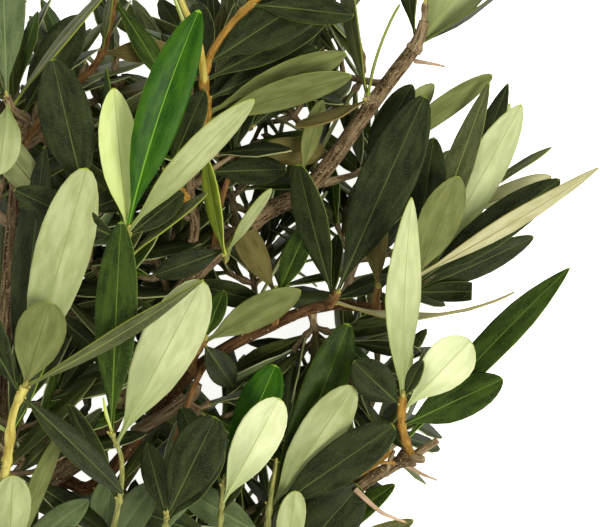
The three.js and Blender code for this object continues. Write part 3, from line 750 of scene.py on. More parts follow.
@dataclass
class BranchPlan:
    """Works out where every limb, twig and leaf goes, by the same rule as the solids."""

    seed: int = SEED
    tint_seed: int = 4107
    side_seed: int = 611
    limbs: dict[str, Twig] = field(default_factory=dict)
    twigs: list[Twig] = field(default_factory=list)
    leaves: list[Leaf] = field(default_factory=list)

    def __post_init__(self) -> None:
        """Grows the limbs, then all twigs, then the leaves."""
        self.tints = SeededStream(self.tint_seed)
        self.limb_skins: list[Skin] = []
        self.placed: list[tuple[str, Skin, Skin]] = []
        self.grow_limbs()
        self.grow_shoots()
        self.grow_shown_leaves()
        self.grow_rule_leaves()
        points = [point for _, _, skin in self.placed for point in skin.points]
        self.reach = [Vector([pick(p[i] for p in points) for i in range(3)]) for pick in (min, max)]
        self.grow_side_twigs()
        for spur in SPURS:
            path = SmoothPath([Vector(point) for point in spur.path])
            self.twigs.append(Twig(path, None, spur.radii, spur.bark, spur.on, thin=True))

    def route(self, on: tuple[str, float], bends: Sequence[Vector]) -> tuple[SmoothPath, Vector]:
        """Returns the path of a new limb or twig and the way its foot faces.

        Args:
            on: The limb that it grows from and how far along it.
            bends: The points that it runs through.

        Returns:
            The path, which starts clear of the carrier's bark or off its tip, and its first direction.
        """
        carrier = self.limbs[on[0]]
        at = carrier.path.station(on[1])
        tip = on[1] == 1
        out = at.tangent if tip else square_to(bends[0] - at.place, at.tangent)
        reach = GAP + (0 if tip else mix(*carrier.radii, on[1]))
        return SmoothPath([at.place + out * reach, *bends]), out

    def grow_limbs(self) -> None:
        """Lays out the limbs."""
        for name, rule in LIMBS.items():
            bends = [Vector(point) for point in rule.path]
            path, out = self.route(rule.on, bends) if rule.on else (SmoothPath(bends), None)
            self.limbs[name] = Twig(path, out, rule.radii, TwigKind.GREY, name)
            self.limb_skins.append(tube_skin(path, out, rule.radii, LIMB_SIDES, LIMB_STEP))

    def grow_shoots(self) -> None:
        """Lays out the shoots' twigs."""
        solid = (TWIG_FOOT_RADIUS, TWIG_TIP_RADIUS)
        for name, rule in {**SHOOTS, **WILD_SHOOTS}.items():
            bends = [Vector(p) for p in rule.path] if isinstance(rule, ShootRule) else self.wild_bends(rule)
            path, out = self.route(rule.on, bends)
            bark = rule.bark if isinstance(rule, ShootRule) else TwigKind.GREY
            self.twigs.append(Twig(path, out, TWIG_RADII[bark], bark, name))
            skin = tube_skin(path, out, solid, TWIG_SIDES, TWIG_STEP)
            self.placed.append((name, skin, skin))

    def wild_bends(self, rule: WildRule) -> list[Vector]:
        """Works out the bends of a shoot that sinks to its tip's height along its heading.

        Args:
            rule: The shoot's rule.

        Returns:
            The bends, foot first.
        """
        start = self.limbs[rule.on[0]].path.point(rule.on[1])
        turn = math.radians(rule.heading)
        return [
            Vector((
                start.x + rule.length * t * math.cos(turn), start.y + rule.length * t * math.sin(turn),
                mix(start.z, rule.tip, t**SINKING),
            ))
            for t in WILD_BENDS
        ]

    def shown_leaf(self, twig: Twig, row: Row, lift: float) -> Leaf:
        """Makes a leaf from its row in the table.

        Args:
            twig: The twig that it grows on.
            row: Its numbers, in the order that ShootRule gives.
            lift: How many degrees it is lifted by.

        Returns:
            The leaf.
        """
        at, heading, rise, length, width, roll, bend, *rest = row
        climb, turn = math.radians(rise + lift), math.radians(heading)
        along = Vector((math.cos(climb) * math.cos(turn), math.cos(climb) * math.sin(turn), math.sin(climb)))
        up = turned(square_to(SKY, along), along, -roll)
        sag = rest[0] if rest else 0
        cut = rest[1] if len(rest) > 1 else 1
        root = twig.path.point(at)
        return Leaf(root, along, up, length, width, bend, sag, cut, near=True, shoot=twig.shoot)

    def grow_shown_leaves(self) -> None:
        """Places the leaves that give the branch its outline."""
        for twig in self.twigs:
            rule = SHOOTS.get(twig.shoot)
            if rule is None:
                continue
            for row, word in zip(rule.leaves, rule.kinds.split(), strict=True):
                kind, _, form = word.partition(":")
                length, width = row[3:5]
                usual = LeafForm.LANCE if width / length < SLENDER else LeafForm.OVAL
                shape = LeafForm[form.upper()] if form else usual
                look = {"kind": LeafKind(kind), "form": shape}
                poses = (replace(self.shown_leaf(twig, row, lift), **look) for lift in RISE_TRIES)
                self.place(poses, twig, row[0])

    def grow_rule_leaves(self) -> None:
        """Places the pairs of leaves on the shoots that grow by rule."""
        stream = SeededStream(self.seed)
        for twig in self.twigs:
            rule = WILD_SHOOTS.get(twig.shoot)
            if rule is None:
                continue
            for leaf, at in self.paired_leaves(twig, rule.pairs, rule.leaf, stream):
                look = replace(leaf, kind=self.wild_kind(), form=self.wild_form())
                poses = [look.lifted(lift) for lift in RULE_TRIES]
                self.place((pose for pose in poses if self.keeps_open(pose)), twig, at)

    def paired_leaves(
        self, twig: Twig, pairs: int, leaf_length: float, stream: SeededStream
    ) -> list[tuple[Leaf, float]]:
        """Returns leaves in pairs, each pair square to the one before, facing the tip and the sky.

        Args:
            twig: The twig that they grow on.
            pairs: How many pairs.
            leaf_length: The usual length of a leaf.
            stream: Where the play in angle and size comes from.

        Returns:
            Each leaf with its place along the twig.
        """
        found = []
        for pair in range(pairs):
            share = pair / max(1, pairs - 1)
            at = mix(*PAIR_SPAN, share)
            here = twig.path.station(at)
            spin = (pair % 2) * 90 + SPIN_PLAY * (stream.draw() - 0.5)
            for half in (0, 180):
                around = math.radians(spin + half)
                out = here.normal * math.cos(around) + here.side * math.sin(around)
                spread = math.radians(SPREAD + SPREAD_PLAY * (2 * stream.draw() - 1) - SPREAD_DROP * share)
                along = here.tangent * math.cos(spread) + out * math.sin(spread)
                along.z *= FLATTENING
                along.normalize()
                length = leaf_length * (1 + LENGTH_PLAY * (2 * stream.draw() - 1)) * (1 - LENGTH_DROP * share)
                width = length * mix(*WIDTH_SHARES, stream.draw())
                up = square_to(here.tangent + SKY * SKY_BIAS, along)
                bend = mix(*BENDS, stream.draw())
                leaf = Leaf(here.place, along, up, length, width, bend, places=RULE_PLACES, shoot=twig.shoot)
                found.append((leaf, at))
        return found

    def keeps_open(self, leaf: Leaf) -> bool:
        """Tells whether a leaf keeps out of the open places.

        Args:
            leaf: The leaf, whose middle line is tested at a few places.

        Returns:
            True if it does.
        """
        for t in OPEN_TESTS:
            spot = leaf.root + leaf.along * leaf.length * t
            margin = leaf.width * OPEN_MARGIN if t < 1 else 0
            if any(math.hypot(spot.x - x, spot.y - y) <= r + margin for x, y, r in OPEN_PLACES):
                return False
        return True

    def is_clear(self, around: Skin, outer: Skin, shoot: str) -> bool:
        """Tells whether a leaf is clear of all limbs and other shoots, and its outer part of its own shoot.

        Args:
            around: The leaf's skin.
            outer: The skin of its outer part.
            shoot: The shoot that it grows on.

        Returns:
            True if it is clear.
        """
        if any(around.meets(limb) for limb in self.limb_skins):
            return False
        return not any(
            outer.meets(other_outer) if other == shoot else around.meets(solid)
            for other, other_outer, solid in self.placed
        )

    def place(self, poses: Iterable[Leaf], twig: Twig, at: float, loose: bool = False) -> bool:
        """Places a leaf at the first of several poses that is clear, and leaves it out if there is none.

        Args:
            poses: The poses to try, best first.
            twig: The twig that it grows on.
            at: Its place along the twig.
            loose: Whether leaves may almost touch.

        Returns:
            Whether the leaf was placed.
        """
        guard, start = (0, GUARD_START) if loose else (CLEARANCE, 0)
        for leaf in poses:
            outer = leaf.skin(guard, GUARD_START)
            if not self.is_clear(leaf.skin(guard, start), outer, twig.shoot):
                continue
            self.placed.append((twig.shoot, outer, leaf.skin()))
            self.leaves.append(leaf)
            twig.swellings.append(at)
            return True
        return False

    def grow_side_twigs(self) -> None:
        """Carries the shoots that grow by rule to side twigs with smaller leaves, inside the same reach."""
        stream = SeededStream(self.side_seed)
        for name, rule in WILD_SHOOTS.items():
            carrier = next(twig for twig in self.twigs if twig.shoot == name)
            for rank, at in enumerate(SIDE_PLACES):
                for hand in (1, -1):
                    twig = self.side_twig(carrier, at, hand * (1 if rank % 2 else -1), stream)
                    leaves = self.paired_leaves(twig, SIDE_PAIRS, rule.leaf * SIDE_LEAF, stream)
                    grown = [
                        self.place(self.side_poses(leaf), twig, place, loose=True) for leaf, place in leaves
                    ]
                    if any(grown):
                        self.twigs.append(twig)

    def side_poses(self, leaf: Leaf) -> Iterable[Leaf]:
        """Tries a leaf of a side twig at several lifts.

        Args:
            leaf: The leaf.

        Yields:
            The poses that stay inside the branch's reach and out of the open places.
        """
        look = replace(leaf, kind=self.wild_kind(), form=self.wild_form())
        for lift in SIDE_TRIES:
            pose = look.lifted(lift)
            if self.keeps_open(pose) and self.keeps_inside(pose):
                yield pose

    def side_twig(self, carrier: Twig, at: float, hand: int, stream: SeededStream) -> Twig:
        """Returns a short twig that grows out of another.

        Args:
            carrier: The twig that it grows on.
            at: How far along the carrier.
            hand: Which side it grows to, 1 or -1.
            stream: Where the play in angle and length comes from.

        Returns:
            The new twig, which turns towards the carrier's tip and keeps off the floor.
        """
        here = carrier.path.station(at)
        level = square_to(SKY.cross(here.tangent), here.tangent) * hand
        out = (level + SKY * stream.between(*SIDE_RISE)).normalized()
        heading = (here.tangent * stream.between(*SIDE_LEAN) + out).normalized()
        length = stream.between(*SIDE_LENGTH)
        middle = here.place + heading * length * SIDE_MIDDLE
        tip = here.place + (heading + here.tangent * SIDE_CURL).normalized() * length
        for point in (middle, tip):
            point.z = max(point.z, SIDE_LOWEST)
        path = SmoothPath([here.place + out * GAP, middle, tip])
        return Twig(path, out, SIDE_RADII, carrier.bark, carrier.shoot, thin=True)

    def keeps_inside(self, leaf: Leaf) -> bool:
        """Returns whether a leaf's tip stays inside the reach of the solids."""
        tip = leaf.root + leaf.along * leaf.length
        return all(low + EDGE < value < high - EDGE for value, low, high in zip(tip, *self.reach))

    def wild_kind(self) -> LeafKind:
        """Draws the kind of the next leaf on a shoot that grows by rule.

        Returns:
            The kind.
        """
        drawn = self.tints.draw()
        for kind, weight in WILD_KINDS.items():
            drawn -= weight
            if drawn < 0:
                return kind
        return LeafKind.DARK

    def wild_form(self) -> LeafForm:
        """Returns the next outline of leaf for a shoot that grows by rule."""
        return LeafForm.LANCE if self.tints.draw() < LANCE_SHARE else LeafForm.OVAL


def put(name: str, data: ID) -> Object:
    """Puts a new object in the scene.

    Args:
        name: The object's name.
        data: The mesh, light or camera that it shows.

    Returns:
        The object.
    """
    made = bpy.data.objects.new(name, data)
    bpy.context.scene.collection.objects.link(made)
    return made


class Sheet:
    """Adds nodes to one tree and joins them."""

    def __init__(self, tree: NodeTree) -> None:
        """Keeps the tree, which is that of a material or of Geometry Nodes."""
        self.tree = tree

    def add(self, kind: str, links: dict[str | int, object], **settings: object) -> Node:
        """Adds a node.

        Args:
            kind: The node's type.
            links: For each input, by name or place, the socket or plain value that it takes.
            settings: The node's own properties.

        Returns:
            The new node.
        """
        node = self.tree.nodes.new(kind)
        for key, value in settings.items():
            setattr(node, key, value)
        self.give(node, links)
        return node

    def give(self, node: Node, links: dict[str | int, object]) -> None:
        """Gives a node's inputs their sockets or plain values.

        Args:
            node: The node.
            links: For each input, by name or place, the socket or plain value that it takes.
        """
        for key, value in links.items():
            if isinstance(value, NodeSocket):
                self.tree.links.new(value, node.inputs[key])
            else:
                node.inputs[key].default_value = value


class NodeSheet(Sheet):
    """A sheet of Geometry Nodes that turns one mesh into another."""

    def __init__(self, name: str) -> None:
        """Starts a tree with one geometry coming in and one going out.

        Args:
            name: The tree's name.
        """
        super().__init__(bpy.data.node_groups.new(name, "GeometryNodeTree"))
        self.names: dict[str, str] = {}
        for way in ("INPUT", "OUTPUT"):
            self.tree.interface.new_socket("Geometry", in_out=way, socket_type="NodeSocketGeometry")
        self.entry = self.tree.nodes.new("NodeGroupInput")
        self.exit = self.tree.nodes.new("NodeGroupOutput")

    def stored(self, geometry: object, name: str, value: object) -> NodeSocket:
        """Keeps a vector on the points of a geometry.

        Args:
            geometry: The geometry.
            name: The name that the vector is kept under.
            value: The vector.

        Returns:
            The geometry that carries it.
        """
        links = {"Geometry": geometry, "Name": name, "Value": value}
        kept = self.add("GeometryNodeStoreNamedAttribute", links, data_type="FLOAT_VECTOR", domain="POINT")
        return kept.outputs[0]

    def given(self, name: str, kind: str = "Float") -> NodeSocket:
        """Adds a named input.

        Args:
            name: The input's name.
            kind: The kind of socket, such as Float, Int, Object or Material.

        Returns:
            The socket that brings it into the tree.
        """
        made = self.tree.interface.new_socket(name, in_out="INPUT", socket_type=f"NodeSocket{kind}")
        self.names[name] = made.identifier
        return self.taken(name)

    def taken(self, name: str) -> NodeSocket:
        """Returns the socket that brings a named input into the tree."""
        return self.entry.outputs[name]

    def maths(self, operation: str, *terms: object) -> NodeSocket:
        """Returns the result of one operation on numbers."""
        return self.add("ShaderNodeMath", dict(enumerate(terms)), operation=operation).outputs[0]

    def vector(self, operation: str, *terms: object) -> NodeSocket:
        """Returns the result of one operation on vectors."""
        return self.add("ShaderNodeVectorMath", dict(enumerate(terms)), operation=operation).outputs[0]

    def scaled(self, direction: object, amount: object) -> NodeSocket:
        """Returns a vector times a number."""
        return self.add("ShaderNodeVectorMath", {0: direction, "Scale": amount}, operation="SCALE").outputs[0]

    def total(self, *vectors: object) -> NodeSocket:
        """Adds several vectors up.

        Args:
            vectors: The vectors, of which there is at least one.

        Returns:
            Their sum.
        """
        whole = vectors[0]
        for part in vectors[1:]:
            whole = self.vector("ADD", whole, part)
        return whole

    def ramp(
        self, value: object, span: tuple[object, object], to: tuple[object, object], smooth: bool = False
    ) -> NodeSocket:
        """Returns a number carried from one range to another, kept inside it.

        Args:
            value: The number.
            span: The range that it comes from.
            to: The range that it goes to.
            smooth: Whether it eases in and out.

        Returns:
            The carried number.
        """
        links = {0: value, 1: span[0], 2: span[1], 3: to[0], 4: to[1]}
        interpolation = "SMOOTHSTEP" if smooth else "LINEAR"
        return self.add("ShaderNodeMapRange", links, interpolation_type=interpolation).outputs[0]

    def named(self, name: str, kind: str = "FLOAT") -> NodeSocket:
        """Returns a named attribute."""
        return self.add("GeometryNodeInputNamedAttribute", {"Name": name}, data_type=kind).outputs[0]

    def end(self, geometry: NodeSocket) -> None:
        """Sends the geometry out of the tree."""
        self.tree.links.new(geometry, self.exit.inputs[0])

    def end_smooth(self, geometry: NodeSocket, finish: NodeSocket) -> None:
        """Sends the geometry out of the tree as one smooth mesh of one finish.

        Args:
            geometry: The geometry, which may hold instances.
            finish: The material that it gets.
        """
        plain = self.add("GeometryNodeRealizeInstances", {0: geometry})
        smooth = self.add("GeometryNodeSetShadeSmooth", {0: plain.outputs[0]})
        links = {"Geometry": smooth.outputs[0], "Material": finish}
        self.end(self.add("GeometryNodeSetMaterial", links).outputs[0])

    def grow(self, source: Mesh, values: dict[str, object]) -> Mesh:
        """Runs the tree on a mesh.

        Args:
            source: The mesh that goes in, which is then removed.
            values: The tree's named inputs.

        Returns:
            The plain mesh that comes out.
        """
        holder = put(source.name, source)
        modifier = holder.modifiers.new("growth", "NODES")
        modifier.node_group = self.tree
        for name, value in values.items():
            modifier[self.names[name]] = value
        depsgraph = bpy.context.evaluated_depsgraph_get()
        depsgraph.update()
        grown = bpy.data.meshes.new_from_object(holder.evaluated_get(depsgraph), depsgraph=depsgraph)
        holder.modifiers.remove(modifier)
        bpy.data.objects.remove(holder)
        bpy.data.meshes.remove(source)
        return grown


def point_mesh(
    name: str, points: Sequence[Vector], edges: Sequence[tuple[int, int]], values: dict[str, Sequence[object]]
) -> Mesh:
    """Returns a mesh of bare points and edges that carry named values.

    Args:
        name: The mesh's name.
        points: The points.
        edges: The edges, by point.
        values: For each name, one number or vector for every point.

    Returns:
        The new mesh.
    """
    mesh = bpy.data.meshes.new(name)
    mesh.from_pydata([tuple(p) for p in points], edges, [])
    for key, column in values.items():
        as_vector = isinstance(column[0], Vector)
        layer = mesh.attributes.new(key, "FLOAT_VECTOR" if as_vector else "FLOAT", "POINT")
        if as_vector:
            layer.data.foreach_set("vector", [part for value in column for part in value])
        else:
            layer.data.foreach_set("value", list(column))
    return mesh


BRIGHTEST = 255
BLACK = (0, 0, 0, 1)
WHITE = (1, 1, 1, 1)

# The values of the drift's noise between which a finish passes from its deep to its light colour.
DRIFT_SPAN = (0.36, 0.64)

# The values of the speckles' noise between which they set in, which the share of speckles lowers.
DOT_SPAN = (0.72, 0.78)

# Where a leaf's foot colour, a darker painted shade towards its foot, is full and where it is gone, as shares
# of its length, and its full strength.
FOOT_SHADE_SPAN = (0.06, 0.58)
FOOT_SHADE_FULL = (0.8, 0.8, 0.8, 1)


def linear(colour: Colour) -> Paint:
    """Returns a colour as a surface reflects it, from how it looks on a screen, from 0 to 255."""
    return (*Color([part / BRIGHTEST for part in colour]).from_srgb_to_scene_linear(), 1)


class PaintSheet(Sheet):
    """The sheet of one new material."""

    NOISE_DETAIL = 3

    def __init__(self, name: str) -> None:
        """Starts a material with one plain shader.

        Args:
            name: The material's name.
        """
        self.material = bpy.data.materials.new(name)
        self.material.use_nodes = True
        super().__init__(self.material.node_tree)
        self.shader = self.tree.nodes["Principled BSDF"]

    def noise(self, place: NodeSocket, size: float) -> NodeSocket:
        """Returns noise whose features are of a size in millimetres."""
        links = {"Vector": place, "Scale": 1 / (size * MM), "Detail": self.NOISE_DETAIL}
        return self.add("ShaderNodeTexNoise", links).outputs["Fac"]

    def ramp(self, value: NodeSocket, first: tuple[float, Paint], second: tuple[float, Paint]) -> NodeSocket:
        """Turns a value into a colour between two stops.

        Args:
            value: The value.
            first: The lower stop's value and colour.
            second: The upper stop's value and colour.

        Returns:
            The socket of the colour.
        """
        ramp = self.add("ShaderNodeValToRGB", {"Fac": value})
        for stop, (place, colour) in zip(ramp.color_ramp.elements, (first, second)):
            stop.position = place
            stop.color = colour
        return ramp.outputs["Color"]

    def mixed(self, share: NodeSocket, base: NodeSocket, other: Colour) -> NodeSocket:
        """Returns a colour that passes to another by a share that varies."""
        links = {"Factor": share, "A": base, "B": linear(other)}
        return self.add("ShaderNodeMix", links, data_type="RGBA").outputs["Result"]

    def attribute(self, name: str) -> Node:
        """Returns a node that reads what the piece's points carry under a name."""
        return self.add("ShaderNodeAttribute", {}, attribute_name=name)


@dataclass(frozen=True)
class Finish:
    """One finish: two colours that drift into each other, fine speckles, gloss and fine relief.

    On a grained one the colours run along the piece's own grain, which its points carry. One with a foot
    colour passes to it towards a leaf's foot, which paints shade there. The sizes of the drift and the
    speckles are in millimetres.
    """

    name: str
    deep: Colour
    light: Colour
    speckle: Colour
    roughness: float
    drift: float
    speckle_size: float
    speckle_share: float
    relief: float
    gloss: float
    grained: bool = True
    foot: Colour | None = None

    def material(self) -> Material:
        """Makes the finish a material, the first time that it is asked for.

        Returns:
            The material.
        """
        found = bpy.data.materials.get(self.name)
        if found:
            return found
        sheet = PaintSheet(self.name)
        place = sheet.add("ShaderNodeTexCoord", {}).outputs["Object"]
        course = sheet.attribute("grain").outputs["Vector"] if self.grained else place
        drift, speckle = sheet.noise(course, self.drift), sheet.noise(place, self.speckle_size)
        colour = sheet.ramp(drift, (DRIFT_SPAN[0], linear(self.deep)), (DRIFT_SPAN[1], linear(self.light)))
        # A foot colour darkens the blade towards its foot: painted shade.
        if self.foot is not None:
            along = sheet.attribute("t").outputs["Fac"]
            fade = sheet.ramp(along, (FOOT_SHADE_SPAN[0], FOOT_SHADE_FULL), (FOOT_SHADE_SPAN[1], BLACK))
            colour = sheet.mixed(fade, colour, self.foot)
        first, last = (edge - self.speckle_share for edge in DOT_SPAN)
        dots = sheet.ramp(speckle, (first, BLACK), (last, WHITE))
        links = {"Height": speckle, "Strength": self.relief, "Distance": self.speckle_size * MM}
        look = {
            "Base Color": sheet.mixed(dots, colour, self.speckle), "Roughness": self.roughness,
            "Specular IOR Level": self.gloss, "Normal": sheet.add("ShaderNodeBump", links).outputs["Normal"],
        }
        sheet.give(sheet.shader, look)
        return sheet.material


@dataclass(frozen=True)
class LeafFinish:
    """The colours of one kind of leaf: deep and light for each side, then those of the midrib and the rim.

    Dust is how strongly the upper side's fine pale dots show. The underside passes to the foot colour, where
    there is one, towards the foot: a darker colour that paints shade there.
    """

    upper: tuple[Colour, Colour]
    underside: tuple[Colour, Colour]
    rib: Colour
    margin: Colour
    roughness: float
    dust: float = 0.3
    foot: Colour | None = None

    DUST_GREY = 136
    UPPER_LOOK = {"drift": 2.6, "speckle_size": 0.36, "speckle_share": 0.13, "relief": 0.16, "gloss": 0.1}
    UNDER_LOOK = {"drift": 2.8, "speckle_size": 0.36, "speckle_share": 0.06, "relief": 0.1, "gloss": 0.08}
    PLAIN_LOOK = {"drift": 8, "speckle_size": 0.5, "speckle_share": 0, "relief": 0.02, "gloss": 0.12}
    UNDER_ROUGHNESS = 0.8
    RIB_ROUGHNESS = 0.6
    MARGIN_ROUGHNESS = 0.55

    def finishes(self, word: str) -> dict[str, Finish]:
        """Lists the finishes of a blade's parts.

        Args:
            word: What this kind of leaf is called.

        Returns:
            One finish for each part, by the name of the part's input in the leaves' tree.
        """
        speckle = tuple(round(mix(part, self.DUST_GREY, self.dust)) for part in self.upper[1])
        under, rib, margin = (*self.underside, self.underside[1]), (self.rib,) * 3, (self.margin,) * 3
        return {
            "Upper": Finish(f"{word}_upper", *self.upper, speckle, self.roughness, **self.UPPER_LOOK),
            "Underside": Finish(
                f"{word}_underside", *under, self.UNDER_ROUGHNESS, **self.UNDER_LOOK, foot=self.foot
            ),
            "Rib": Finish(f"{word}_rib", *rib, self.RIB_ROUGHNESS, **self.PLAIN_LOOK),
            "Margin": Finish(f"{word}_margin", *margin, self.MARGIN_ROUGHNESS, **self.PLAIN_LOOK),
        }


# A kind's foot colour, where it has one, is painted shade towards the leaf's foot.
LEAF_FINISHES = {
    LeafKind.DARK: LeafFinish(
        ((24, 32, 12), (45, 54, 25)), ((122, 130, 84), (156, 160, 112)), (74, 88, 42), (98, 112, 40),
        0.48, 0.22,
    ),
    LeafKind.OLIVE: LeafFinish(
        ((60, 66, 34), (84, 90, 54)), ((116, 122, 74), (140, 146, 96)), (116, 124, 66), (124, 132, 50), 0.5,
    ),
    LeafKind.FRESH: LeafFinish(
        ((24, 62, 2), (48, 88, 6)), ((140, 160, 84), (168, 184, 112)), (100, 146, 36), (124, 166, 36),
        0.42, 0.06,
    ),
    LeafKind.GRASS: LeafFinish(
        ((30, 46, 8), (54, 74, 20)), ((134, 148, 84), (164, 174, 112)), (88, 112, 40), (112, 136, 42),
        0.46, 0.2,
    ),
    # A lighter grey-blue upper side: partly the leaf's own tint, partly a painted sheen.
    LeafKind.BLUE: LeafFinish(
        ((72, 86, 52), (94, 108, 70)), ((138, 148, 108), (164, 172, 134)), (112, 126, 82), (102, 118, 56),
        0.42,
    ),
    LeafKind.PALE: LeafFinish(
        ((44, 60, 18), (72, 88, 32)), ((202, 210, 162), (218, 225, 180)), (168, 176, 118), (170, 180, 98),
        0.5, foot=(128, 146, 82),
    ),
    LeafKind.SILVER: LeafFinish(
        ((40, 54, 18), (68, 82, 32)), ((166, 174, 128), (184, 192, 146)), (146, 156, 102), (158, 168, 84),
        0.5, foot=(108, 124, 64),
    ),
    LeafKind.SAGE: LeafFinish(
        ((38, 50, 18), (64, 78, 32)), ((144, 152, 104), (166, 173, 127)), (130, 140, 84), (148, 158, 70), 0.5,
        foot=(98, 114, 58),
    ),
    LeafKind.MOSS: LeafFinish(
        ((40, 50, 18), (66, 76, 30)), ((94, 100, 56), (114, 120, 72)), (86, 94, 48), (122, 130, 56), 0.5,
    ),
    LeafKind.BEIGE: LeafFinish(
        ((56, 58, 28), (82, 84, 42)), ((162, 160, 118), (184, 183, 144)), (138, 128, 86), (150, 142, 82), 0.5,
    ),
    # The brown kind's dark brownish underside is painted shade on the same underside as the lighter kinds.
    LeafKind.BROWN: LeafFinish(
        ((52, 52, 24), (76, 74, 36)), ((80, 74, 38), (104, 97, 56)), (100, 90, 52), (124, 108, 60), 0.5,
    ),
    LeafKind.YOUNG: LeafFinish(
        ((96, 116, 28), (136, 152, 48)), ((188, 202, 130), (202, 214, 150)), (158, 172, 94), (168, 180, 76),
        0.46, foot=(168, 184, 104),
    ),
}

# How often each kind comes on shoots that grow by rule. The rest are dark.
WILD_KINDS = {
    LeafKind.OLIVE: 0.17, LeafKind.MOSS: 0.17, LeafKind.BLUE: 0.09,
    LeafKind.GRASS: 0.13, LeafKind.BROWN: 0.05, LeafKind.SAGE: 0.02,
}

YOUNG_SPECKLES = {"speckle_size": 0.4, "speckle_share": 0.1}

TWIG_FINISHES = {
    TwigKind.GREY: Finish(
        "bark_young_grey", (84, 66, 44), (146, 128, 98), (176, 162, 136),
        roughness=0.8, drift=0.7, relief=0.3, gloss=0.12, **YOUNG_SPECKLES,
    ),
    TwigKind.ORANGE: Finish(
        "bark_young_orange", (104, 72, 20), (160, 122, 50), (186, 156, 92),
        roughness=0.7, drift=0.8, relief=0.2, gloss=0.16, **YOUNG_SPECKLES,
    ),
    TwigKind.GREEN: Finish(
        "bark_young_green", (98, 102, 46), (148, 148, 86), (172, 170, 116),
        roughness=0.7, drift=0.9, relief=0.2, gloss=0.16, **YOUNG_SPECKLES,
    ),
    TwigKind.RED: Finish(
        "bark_young_red", (86, 56, 28), (140, 104, 62), (168, 138, 98),
        roughness=0.75, drift=0.7, relief=0.25, gloss=0.14, **YOUNG_SPECKLES,
    ),
    TwigKind.YELLOW: Finish(
        "bark_young_yellow", (150, 130, 50), (196, 188, 104), (208, 200, 134),
        roughness=0.7, drift=1.6, relief=0.2, gloss=0.16, **YOUNG_SPECKLES,
    ),
    TwigKind.DRY: Finish(
        "bark_dry", (150, 122, 94), (196, 170, 142), (214, 194, 168),
        roughness=0.85, drift=0.9, relief=0.2, gloss=0.08, **YOUNG_SPECKLES,
    ),
}

OLD_BARK = Finish(
    "bark_old", (52, 35, 20), (124, 106, 78), (158, 142, 114),
    roughness=0.88, drift=0.75, speckle_size=0.5, speckle_share=0.12, relief=0.6, gloss=0.1,
)

# The boughs whose bark differs from the old bark of the others.
BOUGH_BARKS = {
    "bough_middle": Finish(
        "bark_warm", (46, 27, 14), (98, 70, 44), (134, 104, 72),
        roughness=0.86, drift=0.75, speckle_size=0.5, speckle_share=0.1, relief=0.5, gloss=0.12,
    ),
}

CORK = Finish(
    "bark_corky_spots", (150, 134, 104), (186, 170, 138), (200, 188, 160), grained=False,
    roughness=0.9, drift=3, speckle_size=0.4, speckle_share=0.1, relief=0.3, gloss=0.1,
)
CUT_WOOD = Finish(
    "cut_wood", (186, 158, 108), (218, 194, 148), (160, 128, 84), grained=False,
    roughness=0.8, drift=1.6, speckle_size=0.4, speckle_share=0.2, relief=0.2, gloss=0.1,
)
BUD_SKIN = Finish(
    "bud_skin", (118, 112, 50), (166, 158, 84), (186, 178, 112), grained=False,
    roughness=0.6, drift=2, speckle_size=0.3, speckle_share=0.1, relief=0.1, gloss=0.2,
)


def dressed_piece(name: str, mesh: Mesh, nodes: Iterable[str]) -> Object:
    """Makes a piece of a finished mesh, sets it on its body and hides the solids that it stands for.

    Args:
        name: The piece's name.
        mesh: Its mesh, already in the part's frame.
        nodes: The nodes of the solids that it stands for.

    Returns:
        The piece.
    """
    mesh.name = name
    piece = put(name, mesh)
    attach(piece, BODY)
    names = sorted(set(nodes))
    if names:
        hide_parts(*names)
    log.info("%s: %d faces", name, len(mesh.polygons))
    return piece


